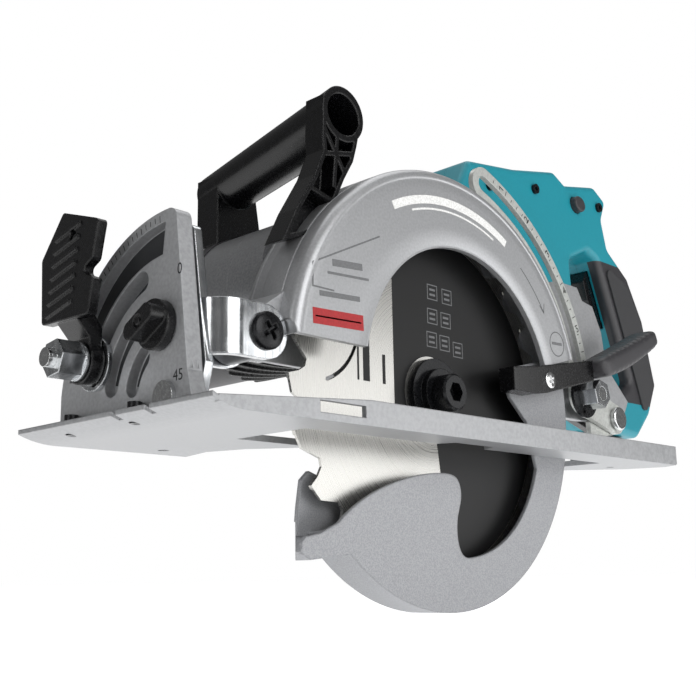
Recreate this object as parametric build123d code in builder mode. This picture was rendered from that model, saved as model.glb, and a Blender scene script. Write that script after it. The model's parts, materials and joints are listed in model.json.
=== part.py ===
from build123d import *
import math
import os

# Rear-handle circular saw. Millimetres, +X is the cutting direction, +Y the blade side, +Z up.
# Origin: underside of the sole, in the blade's plane, straight below the depth pivot.

os.makedirs("parts", exist_ok=True)

# driving dimensions
pivot_x, pivot_z = 0.0, 39.0          # depth pivot axis, along Y
arbor_x, arbor_z = -118.0, 26.5       # arbor axis, along Y
tilt_y, tilt_z = -4.0, 10.0           # bevel tilt axis, along X
blade_radius = 95.0
blade_plate = 1.4
blade_bore_radius = 10.0
max_raise = 34.0                      # degrees from full depth to no depth
guide_ratio = 0.537                   # depth guide swing per degree of raise
guide_pin_x, guide_pin_z = -286.3, 30.2
lock_x, lock_z = -249.9, 39.9         # depth lock bolt at full depth
sole_thick = 3.0
rail_y = 39.3                         # outer face of the left rail
case_radius = 109.0
case_wall = 3.0
case_in_y, case_out_y = -15.0, 18.0
guard_radius = 103.0
guard_in_y, guard_out_y = -8.0, 11.0
module = 1.25
arbor_teeth, idler_teeth, rotor_teeth = 34, 38, 17
gear_top_y, gear_width = -18.5, 10.0
motor_x, motor_z = -56.0, 72.0
motor_radius = 35.0
handle_y = -45.0                      # joint line of the rear handle shells
handle_half_width = 17.0
quadrant_x, quadrant_thick = 29.5, 7.5
tilt_plate_x, tilt_plate_thick = 22.0, 4.0
bevel_bolt_y, bevel_bolt_z = -53.0, 30.0
shaft_fit = 0.05                      # radial running clearance
gap = 0.4                             # clearance between bodies that pass each other


def side(y):
    # drawing plane at height y on the Y axis: local x is X, local y is Z, normal is -Y
    return Plane.XZ.offset(-y)


def facing(x):
    # drawing plane square to X: local x is Y, local y is Z, normal is +X
    return Plane.YZ.offset(x)


def polar(cx, cz, r, degrees):
    return (cx + r * math.cos(math.radians(degrees)), cz + r * math.sin(math.radians(degrees)))


def turned(point, about, degrees):
    # the point turned counter-clockwise about another one
    a = math.radians(degrees)
    dx, dz = point[0] - about[0], point[1] - about[1]
    return (about[0] + dx * math.cos(a) - dz * math.sin(a), about[1] + dx * math.sin(a) + dz * math.cos(a))


def arc_slot(centre, r, first, last, half):
    # a slot of half-width half, with round ends, along an arc between two angles
    middle = (first + last) / 2
    with BuildSketch(Plane.XY) as slot:
        with BuildLine():
            for radius, start, end in ((r + half, first, last), (r - half, last, first)):
                edge_start, edge_end = polar(*centre, radius, start), polar(*centre, radius, end)
                ThreePointArc(edge_start, polar(*centre, radius, middle), edge_end)
            for angle, beyond in ((first, -1), (last, 1)):
                tip = polar(*centre, r, angle + beyond * math.degrees(half / r))
                ThreePointArc(polar(*centre, r + half, angle), tip, polar(*centre, r - half, angle))
        make_face()
    return slot.sketch


def keep(part, label):
    part.label = label
    export_step(part, "parts/" + label + ".step")


# ---------------------------------------------------------------- base

with BuildPart() as base_plate:
    with BuildSketch(Plane.XY):
        with BuildLine():
            Polyline(
                (30, rail_y), (30, -94.5), (-42, -94.5), (-37, -72), (-44, -52), (-62, -30), (-60, -25.5),
                (-16.5, -25.5), (-16.5, 18), (-100, 18), (-104, 26), (-132, 26), (-136, 18), (-242, 18),
                (-242, -18), (-261, -18), (-286, 8), (-294, 30), (-289, rail_y), close=True,
            )
        make_face()
    extrude(amount=sole_thick)
    # front lip: the sole curls up to a thin straight nose
    with BuildSketch(side(rail_y)):
        with BuildLine():
            Polyline((30, sole_thick), (43.5, sole_thick), (49, 5.6), (49, 3.6))
            ThreePointArc((49, 3.6), (40, 0.9), (30, 0))
            Line((30, 0), (30, sole_thick))
        make_face()
    extrude(amount=rail_y + 94.5)
    # turned-up left rim, lower towards the nose
    with BuildSketch(side(rail_y)):
        Polygon((-290, 0.5), (46, 2), (46, 4.8), (-33, 10.7), (-290, 10.7), align=None)
    extrude(amount=2.5)
    # right-hand fence guide and low stiffening ribs on the front pad
    with BuildSketch(Plane.XY.offset(sole_thick)):
        with Locations((-17, -91), (-36, -91), (2, -91)):
            Rectangle(5, 7)
        with Locations((0, -58)):
            Rectangle(44, 3)
    extrude(amount=5)
    with BuildSketch(Plane.XY.offset(sole_thick)):
        with Locations((-17, -79)):
            Circle(6.5)
    extrude(amount=7)
    # fence slots: through the left rim and between the right-hand lugs
    with BuildSketch(side(rail_y + 1)):
        with Locations((-17, 5.5)):
            Rectangle(26, 4.8)
    extrude(amount=5, mode=Mode.SUBTRACT)
    # cutting-line notches in the nose
    with BuildSketch(Plane.XY):
        with Locations((49, 0), (49, -22)):
            Rectangle(8, 3)
    extrude(amount=8, mode=Mode.SUBTRACT)
    with Locations(Location((-17, -79, 4))):
        Hole(radius=2.6, depth=40)
    # holes for the screws of the quadrant and of the rear hinge bracket
    with BuildSketch(Plane.XY):
        with Locations((40.4, -20), (40.4, -66)):
            Circle(2.2)
        with Locations((-268, -14.5), (-268, 9)):
            Circle(2.2)
    extrude(amount=8, mode=Mode.SUBTRACT)
keep(base_plate.part, "base_plate")

quadrant_radius = 77.0
knob_y, knob_z, knob_radius = -8.5, 39.0, 10.3
bolt_radius = math.hypot(bevel_bolt_y - tilt_y, bevel_bolt_z - tilt_z)
bolt_angle = math.degrees(math.atan2(bevel_bolt_z - tilt_z, bevel_bolt_y - tilt_y))
max_bevel = 48.0
pocket_depth = 5.0

with BuildPart() as bevel_quadrant:
    with BuildSketch(facing(quadrant_x)) as quadrant_outline:
        with BuildLine():
            top = polar(tilt_y, tilt_z, quadrant_radius, 87)
            low = polar(tilt_y, tilt_z, quadrant_radius, 173)
            ThreePointArc(top, polar(tilt_y, tilt_z, quadrant_radius, 130), low)
            Polyline(low, (low[0], sole_thick), (9, sole_thick), (9, 18), top)
        make_face()
        fillet(quadrant_outline.vertices().group_by(Axis.Y)[-1], radius=5)
    extrude(amount=quadrant_thick)
    # rim left proud by a recess behind the scale
    with BuildSketch(facing(quadrant_x + quadrant_thick)):
        with BuildLine():
            inner, outer = 58.5, 72.0
            ThreePointArc(
                polar(tilt_y, tilt_z, outer, 92), polar(tilt_y, tilt_z, outer, 130),
                polar(tilt_y, tilt_z, outer, 168),
            )
            Line(polar(tilt_y, tilt_z, outer, 168), polar(tilt_y, tilt_z, inner, 166))
            ThreePointArc(
                polar(tilt_y, tilt_z, inner, 166), polar(tilt_y, tilt_z, inner, 130),
                polar(tilt_y, tilt_z, inner, 94),
            )
            Line(polar(tilt_y, tilt_z, inner, 94), polar(tilt_y, tilt_z, outer, 92))
        make_face()
    extrude(amount=-pocket_depth, mode=Mode.SUBTRACT)
    # two curved pockets that leave ribs between them
    for pocket_radius, first, last, half in ((39.0, 127, 166, 5.0), (24.0, 132, 163, 4.5)):
        with BuildSketch(facing(quadrant_x + quadrant_thick)):
            add(arc_slot((tilt_y, tilt_z), pocket_radius, first, last, half))
        extrude(amount=-pocket_depth, mode=Mode.SUBTRACT)
    # foot flaring out into the sole, and two grooves down the edge
    with BuildSketch(facing(quadrant_x)):
        Polygon((9, sole_thick), (19, sole_thick), (12, 7), (9, 19), align=None)
    extrude(amount=quadrant_thick)
    with BuildSketch(side(9)):
        with Locations((quadrant_x + 2.2, 52), (quadrant_x + 5.2, 52)):
            Rectangle(0.9, 64)
    extrude(amount=0.8, mode=Mode.SUBTRACT)
    # slot that the bevel lock bolt slides along
    with BuildSketch(facing(quadrant_x - 1)):
        add(arc_slot((tilt_y, tilt_z), bolt_radius, bolt_angle - max_bevel, bolt_angle, 4.5))
    extrude(amount=quadrant_thick + 2, mode=Mode.SUBTRACT)
    # foot with its two screw holes
    with BuildSketch(Plane.XY.offset(sole_thick)):
        with Locations((36.5, -43)):
            Rectangle(13, 62)
    extrude(amount=4)
    with BuildSketch(Plane.XY.offset(sole_thick - 1)):
        with Locations((40.4, -20), (40.4, -66)):
            Circle(2.2)
    extrude(amount=8, mode=Mode.SUBTRACT)
    with BuildSketch(facing(quadrant_x - 1)):
        with Locations((tilt_y, tilt_z)):
            Circle(4.0)
        with Locations((knob_y, knob_z)):
            Circle(3.0)
    extrude(amount=quadrant_thick + 2, mode=Mode.SUBTRACT)
keep(bevel_quadrant.part, "bevel_quadrant")

with BuildPart() as base_fasteners:
    with BuildSketch(Plane.XY.offset(1)):
        with Locations((40.4, -20), (40.4, -66)):
            Circle(2.0)
    extrude(amount=6)
    with BuildSketch(Plane.XY.offset(7)):
        with Locations((40.4, -20), (40.4, -66)):
            Circle(3.0)
    extrude(amount=2.6)
    # rivets of the rear hinge bracket
    with BuildSketch(Plane.XY.offset(0.6)):
        with Locations((-268, -14.5), (-268, 9)):
            Circle(2.0)
    extrude(amount=3.6)
    with BuildSketch(Plane.XY.offset(4.2)):
        with Locations((-268, -14.5), (-268, 9)):
            Circle(3.2)
    extrude(amount=1.4)
keep(base_fasteners.part, "base_fasteners")

with BuildPart() as front_tilt_pin:
    with BuildSketch(facing(20.5)):
        with Locations((tilt_y, tilt_z)):
            Circle(4.0)
    extrude(amount=quadrant_x + quadrant_thick - 20.5)
    with BuildSketch(facing(quadrant_x + quadrant_thick)):
        with Locations((tilt_y, tilt_z)):
            Circle(6.2)
    extrude(amount=2.2)
keep(front_tilt_pin.part, "front_tilt_pin")

hinge_ears = (-260.0, -276.0)         # middle of each rear hinge ear
ear_thick = 4.0

with BuildPart() as rear_hinge_bracket:
    for ear_x in hinge_ears:
        with BuildSketch(facing(ear_x - ear_thick / 2)):
            with Locations((tilt_y, tilt_z)):
                Circle(tilt_z - sole_thick)
            with Locations((tilt_y, (tilt_z + sole_thick) / 2)):
                Rectangle(2 * (tilt_z - sole_thick), tilt_z - sole_thick)
        extrude(amount=ear_thick)
    with BuildSketch(Plane.XY.offset(sole_thick)):
        with Locations((-268, -3)):
            Rectangle(20, 30)
    extrude(amount=1.2)
    with BuildSketch(Plane.XY.offset(sole_thick - 1)):
        with Locations((-268, -14.5), (-268, 9)):
            Circle(2.2)
    extrude(amount=4, mode=Mode.SUBTRACT)
    with BuildSketch(facing(-280)):
        with Locations((tilt_y, tilt_z)):
            Circle(4.0)
    extrude(amount=24, mode=Mode.SUBTRACT)
keep(rear_hinge_bracket.part, "rear_hinge_bracket")

with BuildPart() as rear_tilt_pin:
    with BuildSketch(facing(-280)):
        with Locations((tilt_y, tilt_z)):
            Circle(4.0)
    extrude(amount=24)
keep(rear_tilt_pin.part, "rear_tilt_pin")

with BuildPart() as fence_clamp_screw:
    with BuildSketch(Plane.XY.offset(2.0)):
        with Locations((-17, -79)):
            Circle(2.45)
    extrude(amount=14)
    with BuildSketch(Plane.XY.offset(12)):
        with Locations((-17, -79)):
            Circle(5.0)
    extrude(amount=4)
    # thumb wings
    with BuildSketch(Plane.XY.offset(14)):
        with Locations((-17, -79)):
            SlotOverall(24, 3.2, rotation=35)
    extrude(amount=8)
keep(fence_clamp_screw.part, "fence_clamp_screw")

# ---------------------------------------------------------------- bevel stop knob and lock

knob_face = quadrant_x + quadrant_thick

with BuildPart() as bevel_stop_knob:
    with BuildSketch(facing(knob_face + gap)):
        with Locations((knob_y, knob_z)):
            Circle(knob_radius)
    extrude(amount=4)
    with BuildSketch(facing(knob_face + gap + 4)):
        with Locations((knob_y, knob_z)):
            SlotOverall(2 * knob_radius - 1, 7.5, rotation=28)
    extrude(amount=7)
    with BuildSketch(facing(quadrant_x - 0.5)):
        with Locations((knob_y, knob_z)):
            Circle(3.0 - shaft_fit)
    extrude(amount=knob_face + gap - quadrant_x + 0.5)
    # recessed screw
    with BuildSketch(facing(knob_face + gap + 10)):
        with Locations((knob_y, knob_z)):
            Circle(2.6)
            Circle(1.5, mode=Mode.SUBTRACT)
    extrude(amount=2, mode=Mode.SUBTRACT)
keep(bevel_stop_knob.part, "bevel_stop_knob")

bolt_at = (bevel_bolt_y, bevel_bolt_z)

with BuildPart() as bevel_lock_bolt:
    with BuildSketch(facing(tilt_plate_x - 4)):
        with Locations(bolt_at):
            RegularPolygon(7.5, 6)
    extrude(amount=4)
    with BuildSketch(facing(tilt_plate_x)):
        with Locations(bolt_at):
            Circle(4.0)
    extrude(amount=40)
keep(bevel_lock_bolt.part, "bevel_lock_bolt")

with BuildPart() as bevel_lock_washer:
    with BuildSketch(facing(knob_face + gap)):
        with Locations(bolt_at):
            Circle(11.8)
        with Locations(bolt_at):
            Circle(4.0, mode=Mode.SUBTRACT)
            with PolarLocations(8.4, 2, start_angle=100):
                Circle(1.9, mode=Mode.SUBTRACT)
    extrude(amount=1.8)
keep(bevel_lock_washer.part, "bevel_lock_washer")

lever_x = knob_face + gap + 1.8 + gap
thumb_x, thumb_thick = 49.5, 4.5

with BuildPart() as bevel_lock_lever:
    with BuildSketch(facing(lever_x)):
        with Locations(bolt_at):
            Circle(9.5)
    extrude(amount=6)
    # stem rising from the hub and out to the thumb plate
    with BuildSketch(side(-46)):
        Polygon(
            (lever_x, 34), (lever_x + 6, 34), (lever_x + 6, 39.6), (thumb_x + thumb_thick, 49),
            (thumb_x + thumb_thick, 58), (thumb_x, 58), (lever_x, 44), align=None,
        )
    extrude(amount=15)
    # thumb plate, notched on its blade side
    with BuildSketch(facing(thumb_x)) as thumb:
        with BuildLine():
            Polyline(
                (-70, 47), (-35, 46), (-32, 61), (-42, 65), (-33, 69), (-29, 85), (-56, 94),
                (-72, 76), close=True,
            )
        make_face()
        fillet(thumb.vertices(), radius=2.2)
    extrude(amount=thumb_thick)
    # grip ribs
    for rib in range(7):
        with BuildSketch(facing(thumb_x + thumb_thick)):
            with Locations((-57 + 0.9 * rib, 52 + 5.4 * rib)):
                Rectangle(19, 1.8, rotation=12)
        extrude(amount=1.0)
    with BuildSketch(facing(thumb_x - 1)):
        with Locations((-48, 82)):
            Circle(2.4)
    extrude(amount=thumb_thick + 3, mode=Mode.SUBTRACT)
    with BuildSketch(facing(lever_x - 1)):
        with Locations(bolt_at):
            Circle(4.0 + shaft_fit)
    extrude(amount=10, mode=Mode.SUBTRACT)
keep(bevel_lock_lever.part, "bevel_lock_lever")

nut_x = lever_x + 6 + gap

with BuildPart() as bevel_lock_nut:
    with BuildSketch(facing(nut_x)):
        with Locations(bolt_at):
            Circle(8.4)
    extrude(amount=1.4)
    with BuildSketch(facing(nut_x + 1.4)):
        with Locations(bolt_at):
            RegularPolygon(8.3, 6, rotation=8)
    extrude(amount=11)
    with BuildSketch(facing(nut_x - 1)):
        with Locations(bolt_at):
            Circle(4.0)
    extrude(amount=15, mode=Mode.SUBTRACT)
keep(bevel_lock_nut.part, "bevel_lock_nut")

# ---------------------------------------------------------------- tilt frame

tab_y = 9.0                           # inner face of the blade-side tab
tab_thick = 3.5
tab_round = 11.5                      # radius of both tabs round the pivot
far_tab_y = -12.8                     # inner face of the motor-side tab

with BuildPart() as front_tilt_bracket:
    # flat plate behind the quadrant
    with BuildSketch(facing(tilt_plate_x)) as tilt_plate:
        with BuildLine():
            plate_top = polar(tilt_y, tilt_z, 73, 89)
            plate_low = polar(tilt_y, tilt_z, 73, 160)
            ThreePointArc(plate_top, polar(tilt_y, tilt_z, 73, 125), plate_low)
            Polyline(plate_low, (-58, 18), (-16, 4), (-4, 3.6), (2.5, 10), (6, 24), plate_top)
        make_face()
        fillet(tilt_plate.vertices().group_by(Axis.Y)[-1], radius=4)
        with Locations((tilt_y, tilt_z)):
            Circle(6.5)
    extrude(amount=tilt_plate_thick)
    # bent tab to the depth pivot, on the blade side
    with BuildSketch(Plane.XY.offset(pivot_z - tab_round)):
        with BuildLine():
            outer_r = 14.0
            out_y = tab_y + tab_thick
            out_x = tilt_plate_x + tilt_plate_thick
            in_x = tilt_plate_x
            Polyline((out_x, -4), (out_x, out_y - outer_r))
            RadiusArc((out_x, out_y - outer_r), (out_x - outer_r, out_y), -outer_r)
            Polyline((out_x - outer_r, out_y), (0, out_y), (0, tab_y), (in_x + 4 - outer_r, tab_y))
            RadiusArc((in_x + 4 - outer_r, tab_y), (in_x, out_y - outer_r), outer_r - tab_thick)
            Polyline((in_x, out_y - outer_r), (in_x, -4), (out_x, -4))
        make_face()
    extrude(amount=2 * tab_round)
    # tab on the motor side
    with BuildSketch(side(far_tab_y)):
        with Locations((in_x / 2 + 1, pivot_z)):
            Rectangle(in_x + 2, 2 * tab_round)
        with Locations((pivot_x, pivot_z)):
            Circle(tab_round)
    extrude(amount=tab_thick)
    # rounded end of the blade-side tab, bolt holes
    with BuildSketch(side(tab_y + tab_thick)):
        with Locations((pivot_x, pivot_z)):
            Circle(tab_round)
    extrude(amount=tab_thick)
    with BuildSketch(side(tab_y + 5)):
        with Locations((pivot_x, pivot_z)):
            Circle(4.0)
    extrude(amount=34, mode=Mode.SUBTRACT)
    with BuildSketch(facing(tilt_plate_x - 1)):
        with Locations((tilt_y, tilt_z)):
            Circle(4.0 + shaft_fit)
        with Locations(bolt_at):
            Circle(4.0)
        with Locations((knob_y, knob_z)):
            Circle(5.5)
    extrude(amount=6, mode=Mode.SUBTRACT)
keep(front_tilt_bracket.part, "front_tilt_bracket")

with BuildPart() as depth_pivot_bolt:
    with BuildSketch(side(tab_y + tab_thick)):
        with Locations((pivot_x, pivot_z)):
            Circle(4.0)
    extrude(amount=tab_y + tab_thick + 20)
    with BuildSketch(side(tab_y + tab_thick + 3.4)):
        with Locations((pivot_x, pivot_z)):
            Circle(8.0)
    extrude(amount=3.4)
    fillet(depth_pivot_bolt.faces().sort_by(Axis.Y)[-1].edges(), radius=1.5)
keep(depth_pivot_bolt.part, "depth_pivot_bolt")

with BuildPart() as depth_pivot_nut:
    with BuildSketch(side(far_tab_y - tab_thick)):
        with Locations((pivot_x, pivot_z)):
            RegularPolygon(7.5, 6)
            Circle(4.0, mode=Mode.SUBTRACT)
    extrude(amount=4)
keep(depth_pivot_nut.part, "depth_pivot_nut")

guide_y, guide_thick = 4.6, 3.0       # blade-side face and thickness of the depth guide
rear_plate_y = guide_y - guide_thick - gap

with BuildPart() as rear_tilt_bracket:
    ear_gap = hinge_ears[0] - hinge_ears[1] - ear_thick - 2 * gap
    with BuildSketch(facing(hinge_ears[1] + ear_thick / 2 + gap)):
        with Locations((tilt_y, tilt_z)):
            Circle(5.6)
    extrude(amount=ear_gap)
    with BuildSketch(side(rear_plate_y)):
        with Locations((guide_pin_x, guide_pin_z)):
            Circle(9.0)
        Polygon(
            (-262.6, 8), (-262.6, 27), (-279, 39), (-291, 37), (-287, 21), (-273.4, 19.2), (-273.4, 8),
            align=None,
        )
    extrude(amount=3.2)
    with BuildSketch(side(rear_plate_y + 1)):
        with Locations((guide_pin_x, guide_pin_z)):
            Circle(4.0)
    extrude(amount=6, mode=Mode.SUBTRACT)
    with BuildSketch(facing(-280)):
        with Locations((tilt_y, tilt_z)):
            Circle(4.0 + shaft_fit)
    extrude(amount=24, mode=Mode.SUBTRACT)
keep(rear_tilt_bracket.part, "rear_tilt_bracket")

with BuildPart() as guide_pivot_pin:
    with BuildSketch(side(guide_y + gap + 2.8)):
        with Locations((guide_pin_x, guide_pin_z)):
            Circle(7.0)
    extrude(amount=2.8)
    fillet(guide_pivot_pin.faces().sort_by(Axis.Y)[-1].edges(), radius=1.2)
    with BuildSketch(side(guide_y + gap)):
        with Locations((guide_pin_x, guide_pin_z)):
            Circle(4.0)
    extrude(amount=guide_y + gap - rear_plate_y + 3.2)
keep(guide_pivot_pin.part, "guide_pivot_pin")

# ---------------------------------------------------------------- depth guide


def slot_point(raised):
    # where the lock bolt sits in the guide's own frame once the head is raised by that many degrees
    bolt = turned((lock_x, lock_z), (pivot_x, pivot_z), -raised)
    return turned(bolt, (guide_pin_x, guide_pin_z), -guide_ratio * raised)


def beside(raised, distance):
    # a point beside the slot line, square to it
    ahead, behind = slot_point(raised + 0.05), slot_point(raised - 0.05)
    dx, dz = ahead[0] - behind[0], ahead[1] - behind[1]
    length = math.hypot(dx, dz)
    here = slot_point(raised)
    return (here[0] + distance * dz / length, here[1] - distance * dx / length)


slot_half, band_half = 4.35, 9.4
stations = [max_raise * step / 8 for step in range(9)]

with BuildPart() as depth_guide:
    with BuildSketch(side(guide_y)):
        with BuildLine():
            Spline([beside(raised, band_half) for raised in stations])
            Line(beside(max_raise, band_half), beside(max_raise, -band_half))
            Spline([beside(raised, -band_half) for raised in stations])
            Line(beside(0, -band_half), beside(0, band_half))
        make_face()
        with Locations(slot_point(0), slot_point(max_raise)):
            Circle(band_half)
        with Locations((guide_pin_x, guide_pin_z)):
            Circle(9.0)
        Polygon((-252, 29.5), (-286, 21.2), (-291, 38), (-256, 48), align=None)
        with BuildLine(mode=Mode.PRIVATE) as slot_edge:
            Spline([beside(raised, slot_half) for raised in stations])
            Line(beside(max_raise, slot_half), beside(max_raise, -slot_half))
            Spline([beside(raised, -slot_half) for raised in stations])
            Line(beside(0, -slot_half), beside(0, slot_half))
        make_face(slot_edge.edges(), mode=Mode.SUBTRACT)
        with Locations(slot_point(0), slot_point(max_raise)):
            Circle(slot_half, mode=Mode.SUBTRACT)
        with Locations((guide_pin_x, guide_pin_z)):
            Circle(4.0 + shaft_fit, mode=Mode.SUBTRACT)
    extrude(amount=guide_thick)
keep(depth_guide.part, "depth_guide")

lock_plate_y = -3.0                   # blade-side face of the case's rear extension
lock_plate_thick = 5.0

with BuildPart() as depth_lock_bolt:
    with BuildSketch(side(18)):
        with Locations((lock_x, lock_z)):
            Circle(4.0)
    extrude(amount=18 - lock_plate_y + lock_plate_thick + 8)
keep(depth_lock_bolt.part, "depth_lock_bolt")

with BuildPart() as depth_lock_washer:
    with BuildSketch(side(guide_y + gap + 1.8)):
        with Locations((lock_x, lock_z)):
            Circle(12.5)
            Circle(4.0, mode=Mode.SUBTRACT)
            with PolarLocations(8.8, 1, start_angle=-75):
                Circle(1.6, mode=Mode.SUBTRACT)
    extrude(amount=1.8)
keep(depth_lock_washer.part, "depth_lock_washer")

with BuildPart() as depth_lock_nut:
    with BuildSketch(side(18)):
        with Locations((lock_x, lock_z)):
            RegularPolygon(8.2, 6, rotation=14)
            Circle(4.0, mode=Mode.SUBTRACT)
    extrude(amount=18 - guide_y - gap - 1.8)
keep(depth_lock_nut.part, "depth_lock_nut")

lock_lever_y = lock_plate_y - lock_plate_thick - gap

with BuildPart() as depth_lock_lever:
    with BuildSketch(side(lock_lever_y)):
        with Locations((lock_x, lock_z)):
            Circle(8.5)
        Polygon((-246, 33), (-252, 47.5), (-296, 33), (-299, 25), (-292, 20), align=None)
        with Locations((lock_x, lock_z)):
            Circle(4.0 + shaft_fit, mode=Mode.SUBTRACT)
    extrude(amount=5)
keep(depth_lock_lever.part, "depth_lock_lever")

# ---------------------------------------------------------------- gears and shafts


def gear_centre():
    # the idler meshes with the arbor gear and the rotor pinion, on the rear upper side
    to_arbor = module * (arbor_teeth + idler_teeth) / 2
    to_motor = module * (rotor_teeth + idler_teeth) / 2
    dx, dz = motor_x - arbor_x, motor_z - arbor_z
    span = math.hypot(dx, dz)
    along = (to_arbor ** 2 - to_motor ** 2 + span ** 2) / (2 * span)
    across = math.sqrt(to_arbor ** 2 - along ** 2)
    return (
        arbor_x + along * dx / span - across * dz / span,
        arbor_z + along * dz / span + across * dx / span,
    )


idler_x, idler_z = gear_centre()


def involute_tooth(teeth):
    # outline of one tooth pointing along local x: involute flanks at 20 degrees, with backlash
    pitch_r = module * teeth / 2
    base_r = pitch_r * math.cos(math.radians(20))
    root_r = pitch_r - 1.2 * module
    tip_r = pitch_r + 0.8 * module
    backlash = 0.22

    def half_angle(r):
        pressure = math.acos(min(1.0, base_r / r))
        flank = math.tan(pressure) - pressure
        at_pitch = math.tan(math.radians(20)) - math.radians(20)
        return math.pi / (2 * teeth) - backlash / (2 * pitch_r) + at_pitch - flank

    radii = [max(base_r, root_r) + (tip_r - max(base_r, root_r)) * step / 4 for step in range(5)]
    upper = [(r * math.cos(half_angle(r)), r * math.sin(half_angle(r))) for r in radii]
    foot = (0.97 * root_r * math.cos(half_angle(radii[0])), 0.97 * root_r * math.sin(half_angle(radii[0])))
    half = [foot] + upper
    return half + [(x, -z) for x, z in reversed(half)]


def angle_to(a, b):
    return math.degrees(math.atan2(b[1] - a[1], b[0] - a[0]))


arbor_at, idler_at, motor_at = (arbor_x, arbor_z), (idler_x, idler_z), (motor_x, motor_z)
arbor_phase = angle_to(arbor_at, idler_at)
idler_phase = angle_to(idler_at, arbor_at) + 180 / idler_teeth
idler_lead = (angle_to(idler_at, motor_at) - idler_phase) % (360 / idler_teeth)
rotor_phase = angle_to(motor_at, idler_at) + idler_lead * idler_teeth / rotor_teeth + 180 / rotor_teeth

with BuildPart() as arbor_gear:
    with BuildSketch(side(gear_top_y)):
        with Locations(arbor_at):
            Circle(module * arbor_teeth / 2 - 1.2 * module)
            with PolarLocations(0, arbor_teeth, start_angle=arbor_phase):
                Polygon(*involute_tooth(arbor_teeth), align=None)
            Circle(8.0, mode=Mode.SUBTRACT)
    extrude(amount=gear_width)
keep(arbor_gear.part, "arbor_gear")

with BuildPart() as idler_gear:
    with BuildSketch(side(gear_top_y)):
        with Locations(idler_at):
            Circle(module * idler_teeth / 2 - 1.2 * module)
            with PolarLocations(0, idler_teeth, start_angle=idler_phase):
                Polygon(*involute_tooth(idler_teeth), align=None)
            Circle(5.0 + shaft_fit, mode=Mode.SUBTRACT)
            with PolarLocations(14, 5):
                Circle(3.4, mode=Mode.SUBTRACT)
    extrude(amount=gear_width)
keep(idler_gear.part, "idler_gear")

with BuildPart() as arbor_shaft:
    with BuildSketch(side(5.0)):
        with Locations(arbor_at):
            Circle(blade_bore_radius)
    extrude(amount=5.0 - case_in_y)
    with BuildSketch(side(case_in_y)):
        with Locations(arbor_at):
            Circle(8.0)
    extrude(amount=14.5)
    with BuildSketch(side(-29.5)):
        with Locations(arbor_at):
            Circle(13.0)
    extrude(amount=5)
    with BuildSketch(side(-34.5)):
        with Locations(arbor_at):
            Circle(5.0)
    extrude(amount=7)
    # four sockets in the collar for the shaft lock pin
    for quarter in range(4):
        socket_plane = Plane(
            origin=(arbor_x, -32.0, arbor_z),
            x_dir=(0, 1, 0),
            z_dir=(-math.cos(math.radians(90 * quarter)), 0, math.sin(math.radians(90 * quarter))),
        )
        with BuildSketch(socket_plane.offset(9.0)):
            Circle(1.7)
        extrude(amount=6, mode=Mode.SUBTRACT)
    # thread for the arbor bolt
    with BuildSketch(side(6)):
        with Locations(arbor_at):
            Circle(4.0)
    extrude(amount=24, mode=Mode.SUBTRACT)
keep(arbor_shaft.part, "arbor_shaft")

with BuildPart() as rotor_shaft:
    with BuildSketch(side(-16.6)):
        with Locations(motor_at):
            Circle(4.0)
    extrude(amount=104)
    with BuildSketch(side(gear_top_y)):
        with Locations(motor_at):
            Circle(module * rotor_teeth / 2 - 1.2 * module)
            with PolarLocations(0, rotor_teeth, start_angle=rotor_phase):
                Polygon(*involute_tooth(rotor_teeth), align=None)
    extrude(amount=gear_width)
keep(rotor_shaft.part, "rotor_shaft")

with BuildPart() as rotor:
    with BuildSketch(side(-54)):
        with Locations(motor_at):
            Circle(15.6)
            Circle(4.0, mode=Mode.SUBTRACT)
    extrude(amount=34)
keep(rotor.part, "rotor")

with BuildPart() as cooling_fan:
    with BuildSketch(side(-46)):
        with Locations(motor_at):
            Circle(27)
            Circle(4.0, mode=Mode.SUBTRACT)
    extrude(amount=1.6)
    with BuildSketch(side(-47.6)):
        with Locations(motor_at):
            Circle(8)
            Circle(4.0, mode=Mode.SUBTRACT)
            with PolarLocations(18, 9):
                Rectangle(16, 1.4, rotation=28)
    extrude(amount=5)
keep(cooling_fan.part, "cooling_fan")

with BuildPart() as stator:
    with BuildSketch(side(-54.5)):
        with Locations(motor_at):
            Circle(30.0)
            Circle(16.2, mode=Mode.SUBTRACT)
            with PolarLocations(22, 6):
                Rectangle(9, 3.2, mode=Mode.SUBTRACT)
    extrude(amount=33)
keep(stator.part, "stator")

with BuildPart() as ball_bearings:
    for bearing_y in (-37.0, -108.0):
        with BuildSketch(side(bearing_y)):
            with Locations(motor_at):
                Circle(9.0)
                Circle(4.0 + shaft_fit, mode=Mode.SUBTRACT)
        extrude(amount=6)
    with BuildSketch(side(-7.2)):
        with Locations(arbor_at):
            Circle(19.0)
            Circle(blade_bore_radius + shaft_fit, mode=Mode.SUBTRACT)
    extrude(amount=7)
    with BuildSketch(side(-35.4)):
        with Locations(arbor_at):
            Circle(11.0)
            Circle(5.0 + shaft_fit, mode=Mode.SUBTRACT)
    extrude(amount=5.4)
keep(ball_bearings.part, "ball_bearings")

with BuildPart() as inner_flange:
    with BuildSketch(side(-blade_plate / 2)):
        with Locations(arbor_at):
            Circle(21.0)
            Circle(blade_bore_radius, mode=Mode.SUBTRACT)
    extrude(amount=3.6)
keep(inner_flange.part, "inner_flange")

with BuildPart() as outer_flange:
    with BuildSketch(side(5.0)):
        with Locations(arbor_at):
            Circle(18.0)
            Circle(blade_bore_radius, mode=Mode.SUBTRACT)
    extrude(amount=5.0 - blade_plate / 2)
    with BuildSketch(side(8.5)):
        with Locations(arbor_at):
            Circle(12.5)
            Circle(4.0, mode=Mode.SUBTRACT)
    extrude(amount=3.5)
keep(outer_flange.part, "outer_flange")

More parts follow.
